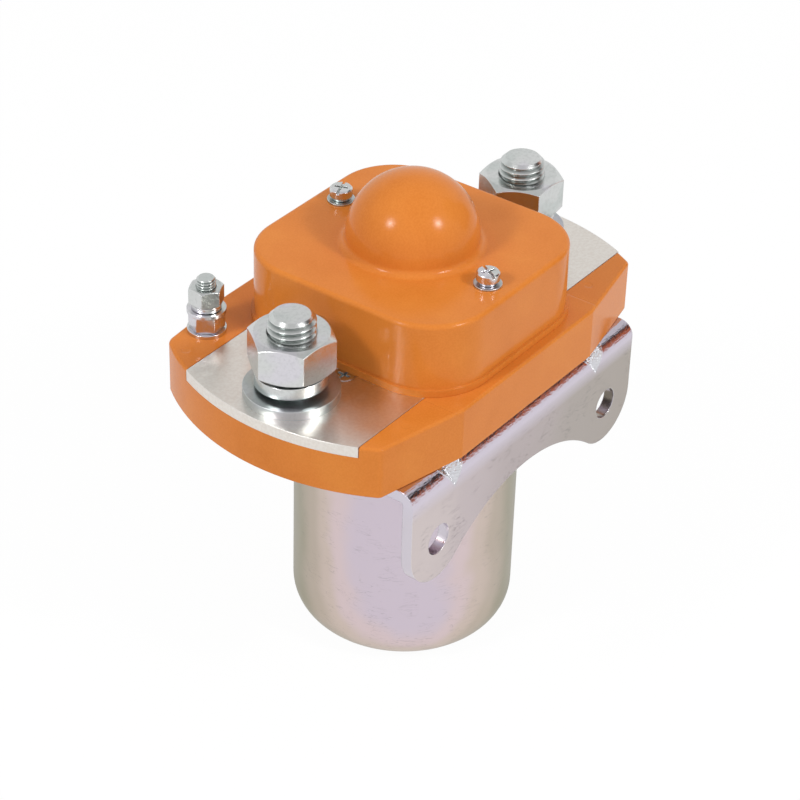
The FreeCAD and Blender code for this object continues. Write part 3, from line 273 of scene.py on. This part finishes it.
low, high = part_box("magnet_can")
radius = (high.x - low.x) / 2
# front points from the can's axis towards the camera. The ramp paints the can lilac and lightest there and
# darker olive towards the sides: painted shade along with the film's tint.
front = math.radians(-144.6)
can_tint_and_shade, tree, shader, *_, drift = make_passivated(
    "passivated_can_with_painted_shade", (math.cos(front) / radius, math.sin(front) / radius, 0.0), 0.0, [
        (0.06, linear("#97937E")), (0.34, linear("#A7A18C")), (0.58, linear("#C4B7A9")),
        (0.71, linear("#D4C4BA")), (0.83, linear("#DDCBCD")), (0.96, linear("#D5C9D5"))],
    (160.0, 160.0, 900.0), 0.22)
rough = add(tree, "ShaderNodeMapRange", inputs={
    "From Min": -0.1, "From Max": 0.1, "To Min": 0.30, "To Max": 0.37}, links={"Value": drift})
feed(tree, shader, {"Roughness": rough.outputs["Result"]})
dress(can_tint_and_shade, "magnet_can")

# Angle bracket: bent from 3 mm steel strip after its two darts are pressed, then
# zinc plated and passivated as the can. The sheet's skin stretches round the bend,
# and that leaves it crinkled.


def dart_share(tree, part, outward):
    """1 on the two darts and 0 off them. A dart lies on the bend's outer side, where the
    distance of x from its middle is under 0.75 times the height above its tip."""
    middle, tip, spread = mm(31.5), mm(73.067), 0.75
    off = add(tree, "ShaderNodeMath", {"operation": "ABSOLUTE"}, links={0: part["X"]})
    off = add(tree, "ShaderNodeMath", {"operation": "SUBTRACT"}, {1: middle}, {0: off.outputs["Value"]})
    off = add(tree, "ShaderNodeMath", {"operation": "ABSOLUTE"}, links={0: off.outputs["Value"]})
    half = add(tree, "ShaderNodeMath", {"operation": "MULTIPLY_ADD"}, {1: spread, 2: -spread * tip},
               {0: part["Z"]})
    inside = add(tree, "ShaderNodeMath", {"operation": "SUBTRACT"}, links={
        0: half.outputs["Value"], 1: off.outputs["Value"]})
    share = add(tree, "ShaderNodeMapRange", inputs={"From Min": mm(-0.2), "From Max": mm(0.3)},
                links={"Value": inside.outputs["Value"]})
    dart = add(tree, "ShaderNodeMath", {"operation": "MULTIPLY"}, links={
        0: share.outputs["Result"], 1: outward})
    return dart.outputs["Value"]


def tint_bend(tree, part, dart, body):
    """The flange turns lilac over 4.5 mm below the bend, and the pressed darts are painted near white as a
    painted highlight.
    Sheared faces, where the size of the normal's x is above 0.55, are lilac."""
    fringe = add(tree, "ShaderNodeMapRange", inputs={
        "From Min": mm(71.5), "From Max": mm(76.0), "To Max": 0.9}, links={"Value": part["Z"]})
    lilac = add(tree, "ShaderNodeMix", {"data_type": "RGBA"}, {"B": linear("#D9D1DF")},
                {"Factor": fringe.outputs["Result"], "A": body})
    # Painted highlight on the darts.
    dart_highlight = add(tree, "ShaderNodeMix", {"data_type": "RGBA"}, {"B": linear("#DEDEE3")},
               {"Factor": dart, "A": lilac.outputs["Result"]})
    facing = add(tree, "ShaderNodeNewGeometry").outputs["Normal"]
    facing = add(tree, "ShaderNodeSeparateXYZ", links={"Vector": facing}).outputs["X"]
    facing = add(tree, "ShaderNodeMath", {"operation": "ABSOLUTE"}, links={0: facing})
    clear = add(tree, "ShaderNodeMath", {"operation": "SUBTRACT"}, links={
        0: facing.outputs["Value"], 1: dart})
    end = add(tree, "ShaderNodeMapRange", inputs={"From Min": 0.35, "From Max": 0.55, "To Max": 0.8},
              links={"Value": clear.outputs["Value"]})
    sheared = add(tree, "ShaderNodeMix", {"data_type": "RGBA"}, {"B": linear("#D6D1DC")},
                  {"Factor": end.outputs["Result"], "A": dart_highlight.outputs["Result"]})
    return sheared.outputs["Result"]


def crinkle_bend(tree, place, shader, skin, body):
    """Wrinkles 0.5 mm wide and 1.5 mm long along the bend, as the height of a noise
    that fades out where y or z leaves the bend's corner. On a dart they are 1.4 times
    as deep. The deeper they are, the more polished is the metal."""
    part = add(tree, "ShaderNodeSeparateXYZ", links={"Vector": place}).outputs
    outward = add(tree, "ShaderNodeMapRange", inputs={"From Min": mm(-33.1), "From Max": mm(-34.1)},
                  links={"Value": part["Y"]}).outputs["Result"]
    upward = add(tree, "ShaderNodeMapRange", inputs={"From Min": mm(75.0), "From Max": mm(76.6)},
                 links={"Value": part["Z"]}).outputs["Result"]
    corner = add(tree, "ShaderNodeMath", {"operation": "MULTIPLY"}, links={0: outward, 1: upward})
    dart = dart_share(tree, part, outward)
    depth = add(tree, "ShaderNodeMath", {"operation": "MULTIPLY_ADD"}, {1: 1.4},
                {0: dart, 2: corner.outputs["Value"]}).outputs["Value"]
    stretch = add(tree, "ShaderNodeMapping", inputs={"Scale": (650.0, 1900.0, 1900.0)},
                  links={"Vector": place})
    wrinkles = add(tree, "ShaderNodeTexNoise", inputs={"Scale": 1.0, "Detail": 3.0},
                   links={"Vector": stretch.outputs["Vector"]})
    height = add(tree, "ShaderNodeMath", {"operation": "MULTIPLY"}, links={
        0: depth, 1: wrinkles.outputs["Fac"]})
    crinkled = add(tree, "ShaderNodeBump", inputs={"Strength": 0.8, "Distance": mm(0.14)},
                   links={"Height": height.outputs["Value"], "Normal": skin.outputs["Normal"]})
    polish = add(tree, "ShaderNodeMapRange", inputs={"To Min": 0.26, "To Max": 0.12},
                 links={"Value": depth})
    feed(tree, shader, {
        "Base Color": tint_bend(tree, part, dart, body), "Roughness": polish.outputs["Result"],
        "Normal": crinkled.outputs["Normal"]})


low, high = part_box("mounting_bracket")
bracket_skin, tree, shader, place, skin, body, _ = make_passivated(
    "passivated_bracket", (1 / (high.x - low.x), 0.0, 0.0), 0.5, [
        (0.05, linear("#D6CAC9")), (0.25, linear("#CABEC0")), (0.50, linear("#BEB3B3")),
        (0.75, linear("#B4ACA6")), (0.98, linear("#B2AAA2"))],
    (190.0, 1000.0, 1000.0), 0.45)
crinkle_bend(tree, place, shader, skin, body)
dress(bracket_skin, "mounting_bracket")

# Terminal plates: copper bar, sheared, deburred and tin plated. Tin comes out of
# the bath satin, with a fine crystal mottle. The satin silver of the contact tips
# looks the same.


def make_tin():
    """Tin: crystal mottle 0.8 mm wide over clouds 12 mm wide, and edges rounded
    by 0.3 mm and lightened with a painted highlight."""
    material, tree, shader, place = new_material("satin_tin")
    crystal = add(tree, "ShaderNodeTexNoise", inputs={"Scale": 1200.0, "Detail": 3.0},
                  links={"Vector": place})
    clouds = add(tree, "ShaderNodeTexNoise", inputs={"Scale": 80.0, "Detail": 3.0},
                 links={"Vector": place})
    body = ramp(tree, crystal.outputs["Fac"], [(0.3, linear("#E5DED6")), (0.7, linear("#EDE8E1"))])
    rough = ramp(tree, clouds.outputs["Fac"], [(0.3, grey(0.28)), (0.7, grey(0.36))])
    edge = add(tree, "ShaderNodeBevel", {"samples": 4}, {"Radius": mm(0.3)})
    bump = add(tree, "ShaderNodeBump", inputs={"Strength": 0.05, "Distance": mm(0.02)},
               links={"Height": crystal.outputs["Fac"], "Normal": edge.outputs["Normal"]})
    # The base colour takes a painted highlight along the rounded edges.
    feed(tree, shader, {
        "Base Color": paint_edge_highlight(tree, edge, body, 0.5), "Roughness": rough,
        "Normal": bump.outputs["Normal"]})
    shader.inputs["Metallic"].default_value = 1.0
    return material


dress(make_tin(), "left_terminal_plate", "right_terminal_plate", "left_fixed_tip", "right_fixed_tip",
      "left_bridge_tip", "right_bridge_tip")

# Nuts, screws and split washers: cold-formed steel, zinc plated in a barrel. The
# plating is bright, with a thin blue passivate, and knocks in the barrel dull it in
# small marks.


def make_zinc(name, colours, shiny, dull):
    """Zinc: a cast of three colours in clouds 10 mm wide, and barrel-plating marks
    0.8 mm wide that dull it. Its edges are rounded by 0.3 mm and lightened with a painted highlight."""
    material, tree, shader, place = new_material(name)
    cast = add(tree, "ShaderNodeTexNoise", inputs={"Scale": 100.0, "Detail": 1.0},
               links={"Vector": place})
    marks = add(tree, "ShaderNodeTexNoise", inputs={"Scale": 1200.0, "Detail": 4.0},
                links={"Vector": place})
    body = ramp(tree, cast.outputs["Fac"], [
        (position, linear(colour)) for position, colour in zip((0.34, 0.50, 0.64), colours)])
    dulled = ramp(tree, marks.outputs["Fac"], [(0.45, grey(1.0)), (0.70, grey(0.93))])
    body = add(tree, "ShaderNodeMix", {"data_type": "RGBA", "blend_type": "MULTIPLY"}, {"Factor": 1.0},
               {"A": body, "B": dulled}).outputs["Result"]
    rough = ramp(tree, marks.outputs["Fac"], [(0.3, grey(shiny)), (0.7, grey(dull))])
    edge = add(tree, "ShaderNodeBevel", {"samples": 4}, {"Radius": mm(0.3)})
    # Painted highlight along the rounded edges.
    body = paint_edge_highlight(tree, edge, body, 0.6)
    bump = add(tree, "ShaderNodeBump", inputs={"Strength": 0.10, "Distance": mm(0.02)},
               links={"Height": marks.outputs["Fac"], "Normal": edge.outputs["Normal"]})
    feed(tree, shader, {"Base Color": body, "Roughness": rough, "Normal": bump.outputs["Normal"]})
    shader.inputs["Metallic"].default_value = 1.0
    return material, tree, shader, body


blue_cast = ("#CDD2D0", "#D7D9D8", "#DAD8DE")
bright_zinc, *_ = make_zinc("bright_zinc", blue_cast, 0.18, 0.27)
fasteners = [name for name, node in nodes.items() if node.data.materials[0].name == "zinc_plated_fastener"]
dress(bright_zinc, *fasteners)

# Flat washers: stamped from steel strip and tumbled before they are plated, which
# leaves them duller and greyer than the nuts that press on them.

dull_zinc, *_ = make_zinc("tumbled_zinc", ("#B2BBB9", "#BBC2C3", "#BDBEC4"), 0.30, 0.38)
dress(dull_zinc, *[name for name in fasteners if "flat_washer" in name])

# Main bolts and coil studs: headed steel with rolled threads, their heads held inside
# the base and drawn as plain rounds. The crests are round-edged and bright, and
# the roots are darkened with painted shade. They take the place of the plain studs.


def grid_piece(name, rings, sunk):
    """A closed piece from rings of points: quads between rings, and a flat fan of
    triangles to a middle point at each end. The attribute sunk goes with its points."""
    count, sides, _ = rings.shape
    index = np.arange(count * sides).reshape(count, sides)
    low, high = index[:-1], index[1:]
    quads = np.stack([low, np.roll(low, -1, 1), np.roll(high, -1, 1), high], axis=-1).reshape(-1, 4)
    ends = [rings[0].mean(axis=0), rings[-1].mean(axis=0)]
    points = np.vstack([rings.reshape(-1, 3), ends])
    first, last = index[0], index[-1]
    bottom = np.stack([np.roll(first, -1), first, np.full(sides, count * sides)], axis=-1)
    top = np.stack([last, np.roll(last, -1), np.full(sides, count * sides + 1)], axis=-1)
    mesh = bpy.data.meshes.new(name)
    mesh.from_pydata(points.tolist(), [], quads.tolist() + bottom.tolist() + top.tolist())
    depths = mesh.attributes.new("sunk", "FLOAT", "POINT")
    depths.data.foreach_set("value", np.append(sunk.reshape(-1), [0.0, 0.0]).astype(np.float32))
    mesh.shade_smooth()
    mesh.set_sharp_from_angle(angle=math.radians(28))
    piece = bpy.data.objects.new(name, mesh)
    bpy.context.scene.collection.objects.link(piece)
    return piece


def threaded_rod(name, stretches, pitch, depth, sides):
    """Rod of stretches (bottom, top, radius at the bottom, radius at the top, threaded).
    A thread's radius falls by its depth along a V whose phase is height / pitch -
    angle / turn, with flats of 0.08 of the pitch on its crest and 0.12 in its root.
    Each point keeps the share of that depth by which it is sunk."""
    rings_each_pitch, crest_flat, root_flat = 16, 0.08, 0.12
    crest = max(max(low, high) for _, _, low, high, threaded in stretches if threaded)
    angle = np.linspace(0, 2 * math.pi, sides, endpoint=False)
    rings, sunk = [], []
    for bottom, top, radius_low, radius_high, threaded in stretches:
        count = max(2, int(round((top - bottom) / pitch * rings_each_pitch)) + 1) if threaded else 2
        height = np.linspace(bottom, top, count)[:, None]
        outer = np.broadcast_to(np.linspace(radius_low, radius_high, count)[:, None], (count, sides))
        phase = np.mod(height / pitch - angle[None, :] / (2 * math.pi), 1.0)
        slope = (1 - 2 * np.abs(phase - 0.5) - crest_flat) / (1 - crest_flat - root_flat)
        cut = np.minimum(outer, crest - depth * np.clip(slope, 0.0, 1.0))
        radius = cut if threaded else outer
        rings.append(np.stack([radius * np.cos(angle), radius * np.sin(angle),
                               np.broadcast_to(height, (count, sides))], axis=-1))
        sunk.append((outer - radius) / depth)
    return grid_piece(name, np.concatenate(rings), np.concatenate(sunk))


def threaded_stud(name, node, head, shank, tip, thread, sides):
    """A headed stud in its CAD node's place, in millimetres: a head (height, radius), a
    threaded shank of one radius, a tip (height of the taper, radius at its end, radius
    of the last ring on its flat) and a thread (pitch, depth)."""
    low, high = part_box(node)
    head_top, taper = low.z + mm(head[0]), high.z - mm(tip[0])
    stud = threaded_rod(name, [
        (low.z, low.z, mm(0.5), mm(head[1]), False),
        (low.z, head_top, mm(head[1]), mm(head[1]), False),
        (head_top, head_top, mm(head[1]), mm(shank), False),
        (head_top, taper, mm(shank), mm(shank), True),
        (taper, high.z, mm(shank), mm(tip[1]), True),
        (high.z, high.z, mm(tip[1]), mm(tip[2]), False),
    ], mm(thread[0]), mm(thread[1]), sides)
    stud.data.transform(Matrix.Translation(((low.x + high.x) / 2, (low.y + high.y) / 2, 0.0)))
    stud.data.materials.append(threads)
    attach(stud, "frame_and_coil")
    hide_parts(node)


threads, tree, shader, body = make_zinc("bright_zinc_threads", blue_cast, 0.18, 0.27)
# Painted shade: the thread roots are darkened by how deeply each point is sunk.
sunk = add(tree, "ShaderNodeAttribute", {"attribute_name": "sunk"})
dark = add(tree, "ShaderNodeMapRange", inputs={"From Min": 0.1, "From Max": 0.9, "To Max": 0.75},
           links={"Value": sunk.outputs["Fac"]})
shaded_roots = add(tree, "ShaderNodeMix", {"data_type": "RGBA"}, {"B": linear("#5F6B66")},
            {"Factor": dark.outputs["Result"], "A": body})
feed(tree, shader, {"Base Color": shaded_roots.outputs["Result"]})

for side in ("left", "right"):
    threaded_stud(f"{side}_threaded_bolt", f"{side}_terminal_bolt",
                  (5.0, 8.6), 6.0, (1.4, 4.6, 1.0), (1.75, 0.95), 96)
    threaded_stud(f"{side}_threaded_coil_stud", f"{side}_coil_stud",
                  (3.2, 4.0), 2.5, (0.5, 2.0, 0.4), (0.8, 0.45), 64)

# Inner pieces, sealed in the can and under the cover: turned iron, drawn copper,
# moulded nylon, rubber and sleeving, plain but with their own surfaces.


def make_plain(name, dark, light, shiny, dull, metallic, scale):
    """A surface whose colour goes from dark to light, and its roughness from shiny to
    dull, with one noise."""
    material, tree, shader, place = new_material(name)
    noise = add(tree, "ShaderNodeTexNoise", inputs={"Scale": scale, "Detail": 3.0},
                links={"Vector": place})
    body = ramp(tree, noise.outputs["Fac"], [(0.3, linear(dark)), (0.7, linear(light))])
    rough = ramp(tree, noise.outputs["Fac"], [(0.3, grey(shiny)), (0.7, grey(dull))])
    feed(tree, shader, {"Base Color": body, "Roughness": rough})
    shader.inputs["Metallic"].default_value = metallic
    return material


dress(make_plain("nickel_plated_iron", "#B3B0A8", "#C6C3BB", 0.25, 0.35, 1.0, 400.0), "fixed_core", "plunger")
dress(make_plain("rolled_brass", "#C9A658", "#D8B76B", 0.25, 0.4, 1.0, 600.0), "core_shim")
stainless = make_plain("drawn_stainless", "#B8B8B8", "#C8C8C8", 0.2, 0.3, 1.0, 500.0)
dress(stainless, "guide_sleeve", "push_rod")
dress(make_plain("glass_filled_nylon", "#D6CFBB", "#E0DACA", 0.45, 0.6, 0.0, 900.0),
      "coil_bobbin", "bridge_bush", "bridge_insulating_washer")
dress(make_plain("copper", "#C2683F", "#D17C52", 0.25, 0.4, 1.0, 700.0), "coil_winding", "contact_bridge")
dress(make_plain("silicone_sleeving", "#1C1C1E", "#262628", 0.5, 0.65, 0.0, 1500.0),
      "left_coil_lead", "right_coil_lead")
dress(make_plain("black_rubber", "#151515", "#1D1D1D", 0.55, 0.7, 0.0, 1200.0), "plunger_buffer")

# Springs: round stainless wire. They shorten as the joints move, which a frame node
# can't, so they are new pieces. The return spring is two pieces cut across its wire:
# the lower one gives way to the bridge's travel, the upper one to the overtravel.


def spring_piece(name, node, turns, wire, first, last, body):
    """Part of a helix, from share first to share last of its climb. At share t the
    wire's middle is at (mean cos a, mean sin a, climb t), with a = 2 pi turns t, and
    its section is a circle spanned by the outward direction and the cross product of
    the helix's own direction with it. Each end stops short, so that two parts of one
    spring stay clear."""
    steps_each_turn, sides, end_room = 24, 16, mm(0.025)
    low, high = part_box(node)
    mean = high.x - wire
    climb = high.z - low.z - 2 * wire
    around = 2 * math.pi * turns * mean
    share = np.linspace(first + end_room / around, last - end_room / around,
                        int(steps_each_turn * turns * (last - first)))
    angle = 2 * math.pi * turns * share
    out = np.stack([np.cos(angle), np.sin(angle), 0 * angle], axis=-1)
    along = np.stack([-around * np.sin(angle), around * np.cos(angle), 0 * angle + climb], axis=-1)
    along /= np.linalg.norm(along, axis=1, keepdims=True)
    across = np.cross(along, out)
    middle = mean * out + np.outer(low.z + wire + climb * share, (0.0, 0.0, 1.0))
    turn = 2 * math.pi * np.arange(sides) / sides
    rings = (middle[:, None] + wire * out[:, None] * np.cos(turn)[None, :, None]
             + wire * across[:, None] * np.sin(turn)[None, :, None])
    piece = grid_piece(name, rings, np.zeros(rings.shape[:2]))
    piece.data.materials.append(stainless)
    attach(piece, body)
    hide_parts(node)
    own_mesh(piece)


joints = {joint["name"]: joint for joint in frame["joints"]}
travel, overtravel = joints["bridge_travel"], joints["plunger_overtravel"]
cut = travel["range_m"][1] / (travel["range_m"][1] + overtravel["range_m"][1])
spring_piece("return_spring_lower", "return_spring", 10, mm(0.5), 0, cut,
             "frame_and_coil")
spring_piece("return_spring_upper", "return_spring", 10, mm(0.5), cut, 1,
             "plunger_and_rod")
spring_piece("contact_spring_wire", "contact_spring", 3.5, mm(0.6), 0, 1,
             "plunger_and_rod")

# Camera: a long lens from the front left and above, a little rolled, as worked out
# from circle ends and straight edges of the part.

azimuth, elevation, roll = math.radians(-54.61), math.radians(34.38), math.radians(1.77)
eye = Vector((-0.47559, -0.33549, 0.46396))
right = Vector((math.cos(azimuth), math.sin(azimuth), 0.0))
back = Vector((math.sin(azimuth) * math.cos(elevation), -math.cos(azimuth) * math.cos(elevation),
               math.sin(elevation)))
up = back.cross(right)
image_x = right * math.cos(roll) + up * math.sin(roll)
image_y = up * math.cos(roll) - right * math.sin(roll)

camera = bpy.data.objects.new("camera", bpy.data.cameras.new("camera"))
camera.data.lens = 121.84
camera.data.sensor_width = 36.0
camera.data.clip_start = 0.01
camera.matrix_world = Matrix((
    (image_x.x, image_y.x, back.x, eye.x),
    (image_x.y, image_y.y, back.y, eye.y),
    (image_x.z, image_y.z, back.z, eye.z),
    (0.0, 0.0, 0.0, 1.0),
))
bpy.context.scene.collection.objects.link(camera)
bpy.context.scene.camera = camera

# Lamps: a shoot-through umbrella on each side, as a round soft light with a smaller
# and brighter one at its centre. They make the two spots on the dome.


def soft_light(name, aim, size, power):
    """A round area light 1.2 m away, seen from the head along aim, a direction in the
    picture's axes: its x to the right, its y up and its z towards the eye."""
    head, distance = Vector((0.0, 0.0, mm(100.0))), 1.2
    direction = (image_x * aim[0] + image_y * aim[1] + back * aim[2]).normalized()
    light = bpy.data.lights.new(name, "AREA")
    light.shape = "DISK"
    light.size = size
    light.energy = power
    lamp = bpy.data.objects.new(name, light)
    lamp.location = head + direction * distance
    lamp.rotation_euler = direction.to_track_quat("Z", "Y").to_euler()
    bpy.context.scene.collection.objects.link(lamp)


left_aim, right_aim = (-0.609, 0.242, 0.756), (0.665, 0.238, 0.708)
soft_light("left_umbrella", left_aim, 0.32, 3.7)
soft_light("left_umbrella_centre", left_aim, 0.08, 1.3)
soft_light("right_umbrella", right_aim, 0.38, 3.4)
soft_light("right_umbrella_centre", right_aim, 0.11, 2.6)

# The room round the sweep: white for the camera. Gloss and metal see it pale near
# the horizon, greyer above the sweep's top edge, and darker in a patch where
# the open room is. A terracotta patch near the horizon is a painted reflection of the orange base in the
# zinc.

world = bpy.data.worlds.new("studio")
world.use_nodes = True
bpy.context.scene.world = world
tree = world.node_tree
tree.nodes.clear()
ray = add(tree, "ShaderNodeLightPath").outputs
direction = add(tree, "ShaderNodeTexCoord").outputs["Generated"]
height = add(tree, "ShaderNodeSeparateXYZ", links={"Vector": direction}).outputs["Z"]
room = ramp(tree, height, [(0.45, grey(0.92)), (0.60, grey(0.72)), (1.0, grey(0.62))])
room_and_reflected_patches = [  # azimuth, elevation, outer and inner radius in degrees, and colour
    (-42.0, 31.0, 17.0, 14.0, grey(0.03)),
    # Painted reflection of the orange base.
    (-32.0, 8.0, 18.5, 16.0, linear("#BC6A48")),
]
for turn, rise, outer, inner, colour in room_and_reflected_patches:
    turn, rise = math.radians(turn), math.radians(rise)
    centre = (math.cos(rise) * math.cos(turn), math.cos(rise) * math.sin(turn), math.sin(rise))
    near = add(tree, "ShaderNodeVectorMath", {"operation": "DOT_PRODUCT"}, {1: centre}, {0: direction})
    share = add(tree, "ShaderNodeMapRange", {"interpolation_type": "SMOOTHSTEP"},
                {"From Min": math.cos(math.radians(outer)), "From Max": math.cos(math.radians(inner))},
                {"Value": near.outputs["Value"]})
    room = add(tree, "ShaderNodeMix", {"data_type": "RGBA"}, {"B": colour},
               {"Factor": share.outputs["Result"], "A": room}).outputs["Result"]
ambient = add(tree, "ShaderNodeMapRange", inputs={"From Min": -0.1, "To Min": 0.50, "To Max": 0.68},
              links={"Value": height})
soft = add(tree, "ShaderNodeBackground", inputs={"Color": grey(1.0)},
           links={"Strength": ambient.outputs["Result"]})
mirrored = add(tree, "ShaderNodeBackground", links={"Color": room})
white = add(tree, "ShaderNodeBackground", inputs={"Color": grey(1.0)})
lit = add(tree, "ShaderNodeMixShader", links={
    0: ray["Is Glossy Ray"], 1: soft.outputs["Background"], 2: mirrored.outputs["Background"]})
seen = add(tree, "ShaderNodeMath", {"operation": "MAXIMUM"}, links={
    0: ray["Is Camera Ray"], 1: ray["Is Transmission Ray"]})
shown = add(tree, "ShaderNodeMixShader", links={
    0: seen.outputs["Value"], 1: lit.outputs["Shader"], 2: white.outputs["Background"]})
add(tree, "ShaderNodeOutputWorld", links={"Surface": shown.outputs["Shader"]})

# Floor: a wide sheet of matt white paper under the can. The camera sees it 0.94
# white, and so keeps the part's shadow. Gloss and metal see it 0.60 white.

floor_mesh = bpy.data.meshes.new("floor")
reach, level = 6.0, mm(-0.1)
floor_mesh.from_pydata(
    [(x * reach, y * reach, level) for x, y in ((-1, -1), (1, -1), (1, 1), (-1, 1))], [], [(0, 1, 2, 3)])
floor = bpy.data.objects.new("floor", floor_mesh)
bpy.context.scene.collection.objects.link(floor)
paper = bpy.data.materials.new("white_paper")
paper.use_nodes = True
tree = paper.node_tree
tree.nodes.clear()
matte = add(tree, "ShaderNodeBsdfDiffuse", inputs={"Color": grey(0.7)})
lit = add(tree, "ShaderNodeEmission", inputs={"Strength": 1.02})
ray = add(tree, "ShaderNodeLightPath").outputs
seen = add(tree, "ShaderNodeMath", {"operation": "MAXIMUM"}, links={
    0: ray["Is Camera Ray"], 1: ray["Is Transmission Ray"]})
seen = add(tree, "ShaderNodeMath", {"operation": "MULTIPLY"}, {1: 0.94}, {0: seen.outputs["Value"]})
mirrored = add(tree, "ShaderNodeMath", {"operation": "MULTIPLY"}, {1: 0.60}, {0: ray["Is Glossy Ray"]})
share = add(tree, "ShaderNodeMath", {"operation": "MAXIMUM"}, links={
    0: seen.outputs["Value"], 1: mirrored.outputs["Value"]})
blend = add(tree, "ShaderNodeMixShader", links={
    0: share.outputs["Value"], 1: matte.outputs["BSDF"], 2: lit.outputs["Emission"]})
add(tree, "ShaderNodeOutputMaterial", links={"Surface": blend.outputs["Shader"]})
floor_mesh.materials.append(paper)

bpy.context.scene.view_settings.view_transform = "Standard"
